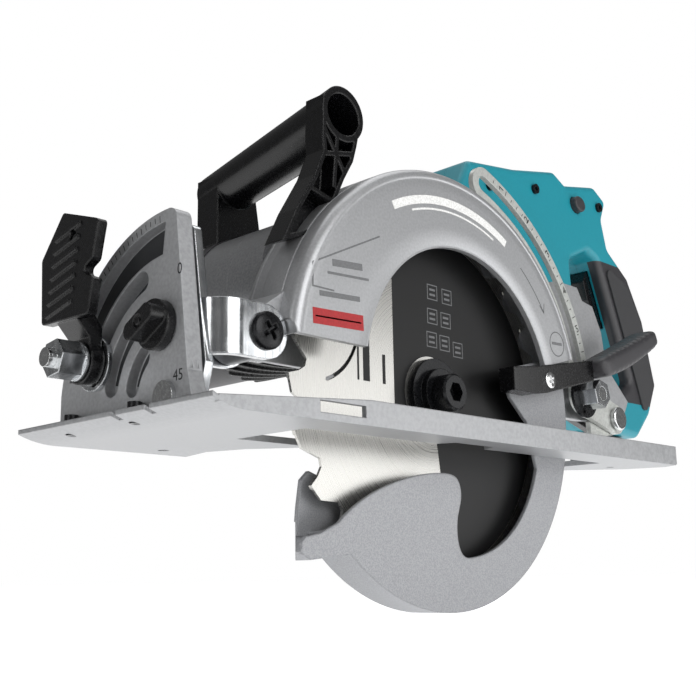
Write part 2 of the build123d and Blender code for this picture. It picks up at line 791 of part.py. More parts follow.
with BuildPart() as arbor_bolt:
    with BuildSketch(side(16.5)):
        with Locations(arbor_at):
            Circle(9.0)
    extrude(amount=8)
    chamfer(arbor_bolt.faces().sort_by(Axis.Y)[-1].edges(), length=1.0)
    with BuildSketch(side(8.5)):
        with Locations(arbor_at):
            Circle(4.0)
    extrude(amount=24)
    with BuildSketch(side(17)):
        with Locations(arbor_at):
            RegularPolygon(5.0, 6)
    extrude(amount=6, mode=Mode.SUBTRACT)
keep(arbor_bolt.part, "arbor_bolt")

# ---------------------------------------------------------------- saw blade

tooth_count = 24
tooth_shape = ((0.0, 95.0), (0.06, 94.6), (0.34, 93.2), (0.52, 88.0), (0.66, 84.4), (0.82, 85.2), (0.93, 89.0))


def blade_outline():
    points = []
    for tooth in range(tooth_count):
        for turn, r in tooth_shape:
            points.append(polar(arbor_x, arbor_z, r, -360 * (tooth + turn) / tooth_count))
    return points


with BuildPart() as saw_blade:
    with BuildSketch(side(blade_plate / 2)):
        with BuildLine():
            Polyline(*blade_outline(), close=True)
        make_face()
        with Locations(arbor_at):
            Circle(blade_bore_radius, mode=Mode.SUBTRACT)
    extrude(amount=blade_plate)
    # curved expansion slots
    for quarter in range(4):
        with BuildSketch(side(blade_plate)):
            turn = 90 * quarter
            add(arc_slot(polar(arbor_x, arbor_z, 88, turn + 20), 32, turn + 190, turn + 250, 0.9))
        extrude(amount=3 * blade_plate, mode=Mode.SUBTRACT)
    # carbide tips
    for tooth in range(tooth_count):
        tip_angle = 360 * tooth / tooth_count
        with BuildSketch(side(1.0)):
            Polygon(
                polar(arbor_x, arbor_z, 95.0, tip_angle), polar(arbor_x, arbor_z, 94.7, tip_angle - 1.3),
                polar(arbor_x, arbor_z, 90.0, tip_angle - 0.3), polar(arbor_x, arbor_z, 90.0, tip_angle + 0.9),
                align=None,
            )
        extrude(amount=2.0)
keep(saw_blade.part, "saw_blade")

# ---------------------------------------------------------------- blade case

hub_radius = 22.5                     # the lower guard turns on this boss
ear_out_y, ear_in_y = 8.6, -12.0
tab_notch = tab_round + 0.7
plate_face_y = case_in_y + case_wall  # inner face of the case's back wall

with BuildPart() as blade_case:
    with BuildSketch(side(case_out_y)):
        with Locations(arbor_at):
            Circle(case_radius)
        Polygon(
            (10, 39.5), (-54, 39.5), (-193, 48.4), (-240, 61), (-240, 140), (10, 140),
            align=None, mode=Mode.INTERSECT,
        )
    extrude(amount=case_out_y - plate_face_y)
    fillet(blade_case.faces().sort_by(Axis.Y)[-1].edges().filter_by(GeomType.CIRCLE), radius=3.5)
    with BuildSketch(side(plate_face_y)):
        with Locations(arbor_at):
            Circle(case_radius)
        Polygon(
            (10, 33), (-62, 33), (-92, 3.5), (-144, 3.5), (-200, 40), (-240, 50), (-240, 140), (10, 140),
            align=None, mode=Mode.INTERSECT,
        )
    extrude(amount=case_wall)
    # ear for the depth pivot bolt
    with BuildSketch(side(ear_out_y)):
        with Locations((pivot_x, pivot_z)):
            Circle(10.5)
        Polygon((0, 49.5), (-18, 62), (-18, 39.5), (0, 28.5), align=None)
    extrude(amount=ear_out_y - ear_in_y)
    # web to the depth lock and the rear handle
    with BuildSketch(side(lock_plate_y)):
        Polygon(
            (-205, 100), (-243, 109), (-264, 109), (-269, 101.5), (-280, 100), (-288.5, 85),
            (-291.6, 64.4), (-315, 44.5), (-306, 30.4), (-262, 28), (-240, 28), (-222, 48), (-210, 60),
            align=None,
        )
    extrude(amount=lock_plate_thick)
    # hollow for the blade and the lower guard
    with BuildSketch(side(case_out_y - case_wall)):
        with Locations(arbor_at):
            Circle(case_radius - case_wall)
    extrude(amount=case_out_y - case_wall - plate_face_y, mode=Mode.SUBTRACT)
    with BuildSketch(side(case_out_y + 1)):
        with Locations((-125, 27)):
            Circle(71.3)
    extrude(amount=case_wall + 1, mode=Mode.SUBTRACT)
    # boss for the arbor bearing and the lower guard
    with BuildSketch(side(plate_face_y + 6.2)):
        with Locations(arbor_at):
            Circle(hub_radius - shaft_fit)
    extrude(amount=6.2)
    with BuildSketch(side(-4.6)):
        with Locations(arbor_at):
            Circle(20.6)
    extrude(amount=1.2)
    with BuildSketch(side(-4)):
        with Locations(arbor_at):
            Circle(13)
    extrude(amount=14, mode=Mode.SUBTRACT)
    with BuildSketch(side(-7.2)):
        with Locations(arbor_at):
            Circle(19.0)
    extrude(amount=9, mode=Mode.SUBTRACT)
    # room for both tabs of the tilt bracket, and the bolt holes
    with BuildSketch(side(case_out_y + 1)):
        with Locations((pivot_x, pivot_z)):
            Circle(tab_notch)
    extrude(amount=case_out_y + 1 - ear_out_y, mode=Mode.SUBTRACT)
    with BuildSketch(side(ear_in_y - gap)):
        with Locations((pivot_x, pivot_z)):
            Circle(tab_notch)
    extrude(amount=4, mode=Mode.SUBTRACT)
    with BuildSketch(side(ear_out_y + 1)):
        with Locations((pivot_x, pivot_z)):
            Circle(4.0 + shaft_fit)
        with Locations((lock_x, lock_z)):
            Circle(4.0)
    extrude(amount=24, mode=Mode.SUBTRACT)
keep(blade_case.part, "blade_case")

with BuildPart() as guard_retaining_ring:
    with BuildSketch(side(-4.7)):
        with Locations(arbor_at):
            Circle(25.4)
            Circle(20.6, mode=Mode.SUBTRACT)
    extrude(amount=1.0)
keep(guard_retaining_ring.part, "guard_retaining_ring")

with BuildPart() as guard_return_spring:
    with BuildSketch(side(guard_in_y - gap)):
        with Locations(arbor_at):
            Circle(27.4)
            Circle(hub_radius + 0.6, mode=Mode.SUBTRACT)
    extrude(amount=3.2)
keep(guard_return_spring.part, "guard_return_spring")

# ---------------------------------------------------------------- gear housing and motor

gear_room = ((arbor_at, 23.0), (idler_at, 25.3), (motor_at, 13.0))
gear_floor_y = -36.0

with BuildPart() as gear_housing:
    with BuildSketch(side(case_in_y)):
        with Locations(arbor_at):
            Circle(25.5)
        with Locations(idler_at):
            Circle(28.0)
        with Locations(motor_at):
            Circle(motor_radius)
        Polygon(
            (-136, 45), (-128, 2.9), (-108, 2.9), (-66, 36), (-40, 100), (-60, 106.5), (-104, 83),
            align=None,
        )
        # shelf that carries the rear handle
        Polygon((-120, 50), (-196, 62), (-204, 118), (-182, 140), (-150, 116), (-104, 83), align=None)
    extrude(amount=13)
    with BuildSketch(side(case_in_y - 13)):
        with Locations(arbor_at):
            Circle(25.5)
        with Locations(idler_at):
            Circle(28.0)
        with Locations(motor_at):
            Circle(motor_radius)
    extrude(amount=10)
    with BuildSketch(side(-38)):
        with Locations(arbor_at):
            Circle(14)
    extrude(amount=5)
    with BuildSketch(side(-38)):
        with Locations(motor_at):
            Circle(12)
    extrude(amount=6)
    for centre, radius in gear_room:
        with BuildSketch(side(case_in_y)):
            with Locations(centre):
                Circle(radius)
        extrude(amount=case_in_y - gear_floor_y, mode=Mode.SUBTRACT)
    with BuildSketch(side(gear_floor_y)):
        with Locations(arbor_at):
            Circle(11.0)
    extrude(amount=5.6, mode=Mode.SUBTRACT)
    with BuildSketch(side(gear_floor_y)):
        with Locations(motor_at):
            Circle(9.0)
    extrude(amount=9, mode=Mode.SUBTRACT)
    # stub axle of the idler
    with BuildSketch(side(case_in_y)):
        with Locations(idler_at):
            Circle(5.0)
    extrude(amount=case_in_y - gear_floor_y)
    # bore of the shaft lock pin, from the rear
    with BuildSketch(facing(arbor_x - 30)):
        with Locations((-32.0, arbor_z)):
            Circle(2.2 + shaft_fit)
    extrude(amount=20, mode=Mode.SUBTRACT)
keep(gear_housing.part, "gear_housing")

with BuildPart() as shaft_lock_button:
    with BuildSketch(facing(arbor_x - 32.5)):
        with Locations((-32.0, arbor_z)):
            Circle(5.0)
    extrude(amount=3)
    with BuildSketch(facing(arbor_x - 30)):
        with Locations((-32.0, arbor_z)):
            Circle(2.2)
    extrude(amount=12)
    with BuildSketch(facing(arbor_x - 18)):
        with Locations((-32.0, arbor_z)):
            Circle(1.5)
    extrude(amount=4.2)
keep(shaft_lock_button.part, "shaft_lock_button")

with BuildPart() as motor_housing:
    with BuildSketch(side(-38)):
        with Locations(motor_at):
            Circle(motor_radius)
            Circle(motor_radius - 3, mode=Mode.SUBTRACT)
    extrude(amount=26)
    # air outlets
    for outlet in range(5):
        angle = math.radians(250 + 14 * outlet)
        with BuildSketch(Plane(
            origin=(motor_x, -50, motor_z), x_dir=(0, 1, 0), z_dir=(math.cos(angle), 0, math.sin(angle)),
        ).offset(20)):
            SlotOverall(12, 3.5)
        extrude(amount=motor_radius, mode=Mode.SUBTRACT)
keep(motor_housing.part, "motor_housing")

with BuildPart() as motor_seal_ring:
    with BuildSketch(side(-64)):
        with Locations(motor_at):
            Circle(motor_radius + 0.6)
            Circle(motor_radius - 3, mode=Mode.SUBTRACT)
    extrude(amount=3.6)
keep(motor_seal_ring.part, "motor_seal_ring")

cap_end_y = -126.0

with BuildPart() as motor_end_cap:
    with BuildSketch(side(-67.6)):
        with Locations(motor_at):
            Circle(motor_radius)
    extrude(amount=-67.6 - cap_end_y)
    fillet(motor_end_cap.faces().sort_by(Axis.Y)[0].edges(), radius=7)
    with BuildSketch(side(-67.6)):
        with Locations(motor_at):
            Circle(motor_radius - 3)
    extrude(amount=-67.6 - cap_end_y - 3.5, mode=Mode.SUBTRACT)
    # seat of the end bearing
    with BuildSketch(side(-108)):
        with Locations(motor_at):
            Circle(12)
    extrude(amount=15)
    with BuildSketch(side(-107)):
        with Locations(motor_at):
            Circle(9.0)
    extrude(amount=7, mode=Mode.SUBTRACT)
    with BuildSketch(side(-113)):
        with Locations(motor_at):
            Circle(5.0)
    extrude(amount=9, mode=Mode.SUBTRACT)
    # air inlets round the end
    for inlet in range(10):
        angle = math.radians(36 * inlet + 18)
        with BuildSketch(Plane(
            origin=(motor_x, -106, motor_z), x_dir=(0, 1, 0), z_dir=(math.cos(angle), 0, math.sin(angle)),
        ).offset(20)):
            SlotOverall(14, 3)
        extrude(amount=18, mode=Mode.SUBTRACT)
keep(motor_end_cap.part, "motor_end_cap")

cap_screw_spots = [polar(motor_x, motor_z, 24, angle) for angle in (45, 135, 225, 315)]


# ---------------------------------------------------------------- front loop handle

leg_out_y, leg_in_y = 7.0, -4.5
leg_outline = (
    (-40, 158), (-39.2, 139), (-39.8, 131), (-33.7, 117), (-22, 98), (-14, 82), (-40, 92), (-48, 110),
    (-52.7, 119.6), (-59, 130), (-61.5, 138), (-65, 152),
)

with BuildPart() as front_handle:
    with BuildSketch(side(leg_out_y)):
        Polygon(*leg_outline, align=None)
    extrude(amount=leg_out_y - leg_in_y)
    # pocket with crossing ribs on the blade side
    with BuildSketch(side(leg_out_y)):
        Polygon(*leg_outline, align=None)
        offset(amount=-2.2, mode=Mode.REPLACE)
        with Locations((-48, 131)):
            Rectangle(40, 2.4, rotation=-14, mode=Mode.SUBTRACT)
            Rectangle(34, 2.2, rotation=56, mode=Mode.SUBTRACT)
            Rectangle(34, 2.2, rotation=-84, mode=Mode.SUBTRACT)
        with Locations((-38, 109)):
            Rectangle(40, 2.2, rotation=14, mode=Mode.SUBTRACT)
    extrude(amount=8, mode=Mode.SUBTRACT)
    # far leg standing on the motor
    with BuildSketch(side(-69)):
        Polygon((-40, 140), (-64, 140), (-72, 90), (-40, 90), align=None)
    extrude(amount=16)
    # sloping grip
    with BuildSketch(side(leg_out_y)):
        with Locations((-53, 152)):
            Ellipse(13.5, 13.5)
    with BuildSketch(side(-85)):
        with Locations((-52, 134)):
            Ellipse(12.5, 12)
    loft()
    with BuildSketch(side(leg_out_y + 1)):
        with Locations((-53, 152)):
            Ellipse(10.4, 10.2)
    with BuildSketch(side(-70)):
        with Locations((-52, 137)):
            Ellipse(8.4, 8.2)
    loft(mode=Mode.SUBTRACT)
    # seats on the blade case and on the motor
    with BuildSketch(side(leg_out_y + 1)):
        with Locations(arbor_at):
            Circle(case_radius + 0.3)
    extrude(amount=leg_out_y - leg_in_y + 2, mode=Mode.SUBTRACT)
    with BuildSketch(side(case_in_y + 0.3)):
        with Locations(motor_at):
            Circle(motor_radius + 0.4)
        with Locations(idler_at):
            Circle(28.4)
    extrude(amount=12, mode=Mode.SUBTRACT)
    with BuildSketch(side(-60)):
        with Locations(motor_at):
            Circle(motor_radius + 0.4)
    extrude(amount=40, mode=Mode.SUBTRACT)
keep(front_handle.part, "front_handle")

# ---------------------------------------------------------------- rear handle

handle_wall = 2.6
handle_outline = (
    (-158, 52), (-158, 112), (-196, 180), (-243, 187), (-287, 197), (-300, 191), (-336, 199), (-351, 191),
    (-344, 176), (-349, 157), (-373, 141), (-390, 113), (-402, 68), (-390, 46), (-372, 29), (-322, 32),
    (-292, 46),
)
loop_outline = ((-322, 150), (-333, 146), (-366, 66), (-345, 52), (-305, 66), (-300, 140))
grip_top, grip_low = loop_outline[1], loop_outline[2]
grip_length = math.hypot(grip_low[0] - grip_top[0], grip_low[1] - grip_top[1])
along_grip = ((grip_low[0] - grip_top[0]) / grip_length, (grip_low[1] - grip_top[1]) / grip_length)
into_grip = (along_grip[1], -along_grip[0])
button_at = (-309.5, 179)


def on_grip(down, deep):
    # a point that far down the inner edge of the grip and that deep into it
    return (
        grip_top[0] + down * along_grip[0] + deep * into_grip[0],
        grip_top[1] + down * along_grip[1] + deep * into_grip[1],
    )


def handle_half(label, face_y, direction):
    # one moulded shell: direction is +1 for the blade-side half, -1 for the other
    with BuildPart() as half:
        with BuildSketch(side(face_y)) as shape:
            Polygon(*handle_outline, align=None)
            fillet(shape.vertices(), radius=5)
            with BuildSketch(mode=Mode.PRIVATE) as loop:
                Polygon(*loop_outline, align=None)
                fillet(loop.vertices(), radius=5)
            add(loop.sketch, mode=Mode.SUBTRACT)
        extrude(amount=direction * handle_half_width)
        fillet(half.faces().filter_by(Axis.Y).sort_by(Axis.Y)[-1 if direction > 0 else 0].edges(), radius=4.5)
        with BuildSketch(side(face_y - direction * handle_wall)) as room:
            Polygon(*handle_outline, align=None)
            fillet(room.vertices(), radius=5)
            with BuildSketch(mode=Mode.PRIVATE) as island:
                Polygon(*loop_outline, align=None)
                fillet(island.vertices(), radius=5)
            add(island.sketch, mode=Mode.SUBTRACT)
            offset(amount=-4.0, mode=Mode.REPLACE)
        extrude(amount=direction * handle_half_width, mode=Mode.SUBTRACT)
        # mouth of the trigger
        with BuildSketch(side(handle_y + 7.4)):
            Polygon(on_grip(5.6, -3), on_grip(46.4, -3), on_grip(46.4, 5), on_grip(5.6, 5), align=None)
        extrude(amount=14.8, mode=Mode.SUBTRACT)
        if direction > 0:
            with BuildSketch(side(face_y + 1)):
                with Locations(button_at):
                    Ellipse(6.4, 5.4, rotation=20)
            extrude(amount=6, mode=Mode.SUBTRACT)
            # bosses that reach the case's rear web
            with BuildSketch(side(lock_plate_y - lock_plate_thick)):
                with Locations((-272, 62), (-276, 87)):
                    Circle(6.5)
            extrude(amount=lock_plate_y - lock_plate_thick - face_y + 1)
    keep(half.part, label)


handle_half("rear_handle_left", handle_y + handle_half_width, 1)
handle_half("rear_handle_right", handle_y - handle_half_width, -1)

left_face_y = handle_y + handle_half_width
right_face_y = handle_y - handle_half_width

with BuildPart() as grip_overmould:
    for pad_y in (left_face_y + 1.2, right_face_y):
        with BuildSketch(side(pad_y)) as pad:
            Polygon(
                on_grip(4, 6), on_grip(84, 6), (-381, 43), (-394, 68), (-383, 112), (-368, 134), align=None,
            )
            fillet(pad.vertices(), radius=4)
        extrude(amount=1.2)
keep(grip_overmould.part, "grip_overmould")

with BuildPart() as housing_screws:
    for head_y, spots in (
        (left_face_y + 1.8, ((-214, 168), (-262, 178), (-338, 184), (-317, 44))),
        (cap_end_y, cap_screw_spots),
        (-85, ((-58, 116), (-48, 116))),
    ):
        with BuildSketch(side(head_y)):
            with Locations(*spots):
                Circle(3.2)
                RegularPolygon(1.6, 6, mode=Mode.SUBTRACT)
        extrude(amount=1.8)
keep(housing_screws.part, "housing_screws")

with BuildPart() as lock_off_button:
    with BuildSketch(side(left_face_y + 4.4)):
        with Locations(button_at):
            Ellipse(6.0, 5.0, rotation=20)
    extrude(amount=9.5)
    fillet(lock_off_button.faces().sort_by(Axis.Y)[-1].edges(), radius=1.2)
keep(lock_off_button.part, "lock_off_button")

with BuildPart() as trigger:
    with BuildSketch(side(handle_y + 7)) as finger:
        Polygon(
            on_grip(6, 12), on_grip(6, -2), on_grip(11, -8), on_grip(24, -9.5), on_grip(40, -6),
            on_grip(46, -2), on_grip(46, 12), align=None,
        )
        fillet(finger.vertices(), radius=1.5)
    extrude(amount=14)
keep(trigger.part, "trigger")

with BuildPart() as electronics:
    # trigger switch and motor controller
    with BuildSketch(side(handle_y + 8)):
        Polygon(on_grip(14, 20.5), on_grip(42, 20.5), on_grip(42, 27), on_grip(18, 25), align=None)
    extrude(amount=16)
    with BuildSketch(side(handle_y + 12)):
        with Locations((-210, 118)):
            Rectangle(42, 50)
    extrude(amount=24)
keep(electronics.part, "electronics")

rail_x, rail_z = -240.0, 125.0        # middle of the battery interface

with BuildPart() as battery_rail_plate:
    with BuildSketch(side(right_face_y)):
        with Locations((rail_x, rail_z)):
            RectangleRounded(66, 104, 6)
    extrude(amount=3)
    for rail_side in (-1, 1):
        with BuildSketch(side(right_face_y - 3)):
            with Locations((rail_x + rail_side * 27, rail_z)):
                Rectangle(5, 96)
        extrude(amount=5)
        with BuildSketch(side(right_face_y - 8)):
            with Locations((rail_x + rail_side * 25.5, rail_z)):
                Rectangle(8, 96)
        extrude(amount=2.5)
keep(battery_rail_plate.part, "battery_rail_plate")

with BuildPart() as terminal_block:
    with BuildSketch(side(right_face_y - 3)):
        with Locations((rail_x, rail_z + 26)):
            Rectangle(34, 30)
    extrude(amount=7)
    for blade_slot in (-11, -4, 4, 11):
        with BuildSketch(side(right_face_y - 6)):
            with Locations((rail_x + blade_slot, rail_z + 22)):
                Rectangle(1.6, 24)
        extrude(amount=5, mode=Mode.SUBTRACT)
keep(terminal_block.part, "terminal_block")

with BuildPart() as speed_mode_button:
    with BuildSketch(side(right_face_y)):
        with Locations((-184, 120)):
            Circle(5.0)
    extrude(amount=1.6)
keep(speed_mode_button.part, "speed_mode_button")

with BuildPart() as work_lamp:
    with BuildSketch(side(case_in_y)):
        with Locations((-24, 39.5)):
            RectangleRounded(13, 9, 2)
    extrude(amount=10)
keep(work_lamp.part, "work_lamp")

with BuildPart() as rubber_bumper:
    with BuildSketch(Plane.XY.offset(27.2)):
        with Locations((-347, handle_y)):
            RectangleRounded(34, 20, 4)
    extrude(amount=1.6)
keep(rubber_bumper.part, "rubber_bumper")

# ---------------------------------------------------------------- lower guard

guard_wall = 2.0
rim_start, rim_end = 163.0, 319.0     # degrees: the rear end and the front end of the guard's rim


def rim_point(r, degrees):
    return polar(arbor_x, arbor_z, r, degrees)


with BuildPart() as lower_guard:
    # rim
    with BuildSketch(side(guard_out_y)):
        with BuildLine():
            ThreePointArc(
                rim_point(guard_radius, rim_start), rim_point(guard_radius, 241), rim_point(guard_radius, rim_end),
            )
            Line(rim_point(guard_radius, rim_end), rim_point(guard_radius - guard_wall, rim_end))
            ThreePointArc(
                rim_point(guard_radius - guard_wall, rim_end), rim_point(guard_radius - guard_wall, 241),
                rim_point(guard_radius - guard_wall, rim_start),
            )
            Line(rim_point(guard_radius - guard_wall, rim_start), rim_point(guard_radius, rim_start))
        make_face()
    extrude(amount=guard_out_y - guard_in_y)
    # blade-side plate with its open window
    with BuildSketch(side(guard_out_y)):
        with BuildLine():
            Line(rim_point(guard_radius, rim_end), (-42, -37))
            Spline(
                (-42, -37), (-60, -25.4), (-79, -18), (-99, -13.4), (-114, -12.2), (-123.2, -14.6),
                (-125.6, -21.5), (-122.6, -32), (-121.9, -42), (-124.6, -49.3), (-130.5, -51.5),
            )
            ThreePointArc((-130.5, -51.5), (-169, -36.7), (-190.6, -5.3))
            Polyline((-190.6, -5.3), (-184, 18), (-170, 30), (-163, 44), (-212, 56), rim_point(guard_radius, rim_start))
            ThreePointArc(
                rim_point(guard_radius, rim_start), rim_point(guard_radius, 241), rim_point(guard_radius, rim_end),
            )
        make_face()
    extrude(amount=guard_wall)
    # motor-side plate, a sector round the hub
    with BuildSketch(side(guard_in_y + guard_wall)):
        with BuildLine():
            ThreePointArc(
                rim_point(guard_radius, rim_start), rim_point(guard_radius, 241), rim_point(guard_radius, rim_end),
            )
            Polyline(rim_point(guard_radius, rim_end), arbor_at, rim_point(guard_radius, rim_start))
        make_face()
        with Locations(arbor_at):
            Circle(26.0)
            Circle(hub_radius, mode=Mode.SUBTRACT)
    extrude(amount=guard_wall)
    # scoop at the front edge
    with BuildSketch(side(guard_out_y)):
        Polygon((-46, -46), (-25, -50.4), (-21.5, -48.4), (-23, -42.5), (-19.7, -49), (-25, -52.4), (-48, -50), align=None)
    extrude(amount=guard_out_y - guard_in_y)
    with BuildSketch(side(guard_out_y)):
        Polygon((-42, -37), (-31, -41.6), (-23, -43), (-20.5, -45.4), (-20.6, -50), (-25, -52.4), (-50, -50), align=None)
    extrude(amount=guard_wall)
    with BuildSketch(side(guard_in_y + guard_wall)):
        Polygon(
            (-60, -20), (-41, -14), (-36.5, -18), (-34.5, -30), (-33, -45), (-19.7, -49), (-25, -52.4),
            (-50, -50), align=None,
        )
    extrude(amount=guard_wall)
    # the scoop is swept back towards the motor side
    with BuildSketch(Plane.XY.offset(-56)):
        Polygon((-16, 12), (-35.5, -9), (0, -9), (0, 12), align=None)
    extrude(amount=20, mode=Mode.SUBTRACT)
keep(lower_guard.part, "lower_guard")

bar_y, bar_thick = case_out_y + 0.5, 2.0

with BuildPart() as guard_lever_bar:
    with BuildSketch(side(bar_y + bar_thick)):
        Polygon((-161, 32), (-161, 44), (-180, 46.5), (-237, 57), (-237, 45.4), (-190, 33.5), (-180, 32), align=None)
    extrude(amount=bar_thick)
    with BuildSketch(side(bar_y)):
        Polygon((-161, 32), (-161, 44), (-180, 44), (-180, 32), align=None)
    extrude(amount=bar_y - guard_out_y)
keep(guard_lever_bar.part, "guard_lever_bar")

with BuildPart() as guard_lever_screw:
    with BuildSketch(side(bar_y + bar_thick + 1.2)):
        with Locations((-193, 40.5)):
            Circle(4.4)
    extrude(amount=1.2)
keep(guard_lever_screw.part, "guard_lever_screw")

with BuildPart() as guard_lever_grip:
    with BuildSketch(side(30)) as lever_grip:
        Polygon(
            (-237, 45.5), (-237, 57.5), (-262, 69), (-296, 84), (-302, 79), (-298, 70), (-262, 59), (-242, 49.5),
            align=None,
        )
        fillet(lever_grip.vertices(), radius=1.5)
    extrude(amount=20)
keep(guard_lever_grip.part, "guard_lever_grip")
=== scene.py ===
import json
import math
import bpy
import numpy as np
from mathutils import Matrix, Vector


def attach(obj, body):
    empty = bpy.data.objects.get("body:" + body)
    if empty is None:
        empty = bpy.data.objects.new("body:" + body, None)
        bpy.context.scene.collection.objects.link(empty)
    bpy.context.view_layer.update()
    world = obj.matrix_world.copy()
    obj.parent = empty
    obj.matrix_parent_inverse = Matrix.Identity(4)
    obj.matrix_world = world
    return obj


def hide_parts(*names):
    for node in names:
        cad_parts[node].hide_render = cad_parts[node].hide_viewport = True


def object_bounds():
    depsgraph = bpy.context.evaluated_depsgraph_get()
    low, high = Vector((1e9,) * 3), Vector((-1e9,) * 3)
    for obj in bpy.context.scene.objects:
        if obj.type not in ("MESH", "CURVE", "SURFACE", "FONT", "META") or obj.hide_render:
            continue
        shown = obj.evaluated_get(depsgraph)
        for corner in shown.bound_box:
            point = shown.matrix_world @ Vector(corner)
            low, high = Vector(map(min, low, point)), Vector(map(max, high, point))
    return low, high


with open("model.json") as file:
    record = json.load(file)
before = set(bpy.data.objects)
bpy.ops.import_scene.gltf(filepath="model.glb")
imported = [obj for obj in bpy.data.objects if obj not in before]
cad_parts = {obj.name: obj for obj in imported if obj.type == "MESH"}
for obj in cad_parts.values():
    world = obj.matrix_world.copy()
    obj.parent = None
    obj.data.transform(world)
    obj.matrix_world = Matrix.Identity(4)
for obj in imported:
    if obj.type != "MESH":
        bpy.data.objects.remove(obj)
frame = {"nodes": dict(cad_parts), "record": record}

cadBox = [list(corner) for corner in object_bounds()]

mm = 0.001
arbor = (-118.0, 26.5)      # x and z of the blade's axis, mm
pivot = (0.0, 39.0)         # x and z of the depth pivot
tilt = (-4.0, 10.0)         # y and z of the bevel axis
sharpEdge = 35              # degrees: flatter edges are shaded smooth


cameraSet = {"place": (283.5, 330.9, -59.5), "yaw": 43.87, "pitch": 12.06, "roll": -1.0, "lens": 55.5}


def makeCamera(v):
    # looks along minus X and minus Y, a little upwards, from below the sole
    yaw, pitch, roll = (math.radians(v[key]) for key in ("yaw", "pitch", "roll"))
    aim = Vector((-math.cos(yaw) * math.cos(pitch), -math.sin(yaw) * math.cos(pitch), math.sin(pitch)))
    right = aim.cross(Vector((0, 0, 1))).normalized()
    up = right.cross(aim)
    across = math.cos(roll) * right + math.sin(roll) * up
    over = math.cos(roll) * up - math.sin(roll) * right
    data = bpy.data.cameras.new("camera")
    data.lens, data.sensor_width, data.clip_start = v["lens"], 36.0, 0.01
    camera = bpy.data.objects.new("camera", data)
    turn = Matrix((across, over, -aim)).transposed()
    camera.matrix_world = Matrix.Translation(Vector(v["place"]) * mm) @ turn.to_4x4()
    bpy.context.scene.collection.objects.link(camera)
    bpy.context.scene.camera = camera


def hexColour(text):
    # sRGB hex to linear RGBA
    parts = [int(text[i:i + 2], 16) / 255 for i in (1, 3, 5)]
    return [c / 12.92 if c <= 0.04045 else ((c + 0.055) / 1.055) ** 2.4 for c in parts] + [1.0]


def addNode(tree, kind, settings=None, links=None):
    # a new node with its values and its incoming links; an integer key is an input's number
    node = tree.nodes.new(kind)
    for key, value in (settings or {}).items():
        if isinstance(key, int) or key in node.inputs:
            node.inputs[key].default_value = value
        else:
            setattr(node, key, value)
    for key, source in (links or {}).items():
        tree.links.new(source, node.inputs[key])
    return node


lightSet = {
    # name: place, aim (mm), size (m), power (W)
    "key": ((-50, 950, 420), (-150, 0, 60), 0.7, 5.4),
    "front": ((950, 60, 320), (0, 0, 40), 0.35, 1.5),
    "top": ((-250, -100, 950), (-150, 0, 0), 0.8, 3.4),
    "low": ((-650, 600, 40), (-150, 0, 0), 0.4, 1.0),
}
# ambient light; the floor's drop below the saw (mm) and half its width (m); its paper's tone and glow
stageSet = {"ambient": 0.16, "drop": 0.6, "half": 12.0, "tone": 0.93, "roughness": 0.9, "glow": 0.85}


def makeStage(v):
    scene = bpy.context.scene
    world = bpy.data.worlds.new("studio")
    scene.world = world
    world.use_nodes = True
    # a white backdrop that lights the saw only softly
    backdrop = world.node_tree.nodes["Background"]
    backdrop.inputs["Color"].default_value = (1, 1, 1, 1)
    seen = addNode(world.node_tree, "ShaderNodeLightPath")
    strength = addNode(world.node_tree, "ShaderNodeMath",
                       {"operation": "MULTIPLY_ADD", 1: 1 - v["ambient"], 2: v["ambient"]},
                       {0: seen.outputs["Is Camera Ray"]})
    world.node_tree.links.new(strength.outputs["Value"], backdrop.inputs["Strength"])
    scene.view_settings.view_transform = "Standard"
    for name, (place, aim, size, power) in lightSet.items():
        data = bpy.data.lights.new(name, "AREA")
        data.size, data.energy = size, power
        light = bpy.data.objects.new(name, data)
        light.location = Vector(place) * mm
        light.rotation_euler = (Vector(aim) - Vector(place)).to_track_quat("-Z", "Y").to_euler()
        scene.collection.objects.link(light)
    floorMesh = bpy.data.meshes.new("floor")
    low, half = cadBox[0][2] - v["drop"] * mm, v["half"]
    floorMesh.from_pydata([(-half, -half, low), (half, -half, low), (half, half, low), (-half, half, low)],
                          [], [(0, 1, 2, 3)])
    floor = bpy.data.objects.new("floor", floorMesh)
    scene.collection.objects.link(floor)
    # matt white paper that glows a little, so that it stays even behind the saw
    paper = bpy.data.materials.new("whitePaper")
    paper.use_nodes = True
    sockets = paper.node_tree.nodes["Principled BSDF"].inputs
    sockets["Base Color"].default_value = (v["tone"], v["tone"], v["tone"], 1)
    sockets["Roughness"].default_value = v["roughness"]
    sockets["Emission Color"].default_value = (1, 1, 1, 1)
    sockets["Emission Strength"].default_value = v["glow"]
    floorMesh.materials.append(paper)


makeCamera(cameraSet)
makeStage(stageSet)
print("camera and light ready")


def newFinish(name, roughness, metallic=0.0, ior=1.5):
    material = bpy.data.materials.new(name)
    material.use_nodes = True
    tree = material.node_tree
    shader = tree.nodes["Principled BSDF"]
    shader.inputs["Roughness"].default_value = roughness
    shader.inputs["Metallic"].default_value = metallic
    shader.inputs["IOR"].default_value = ior
    return material, tree, shader


def speckle(tree, grain, stretch=(1, 1, 1)):
    # noise whose grains are grain mm wide, drawn out along the axes by stretch
    coords = addNode(tree, "ShaderNodeTexCoord")
    mapping = addNode(tree, "ShaderNodeMapping", {"Scale": stretch}, {"Vector": coords.outputs["Object"]})
    return addNode(tree, "ShaderNodeTexNoise", {"Scale": 1 / (grain * mm), "Detail": 3.0},
                   {"Vector": mapping.outputs["Vector"]})


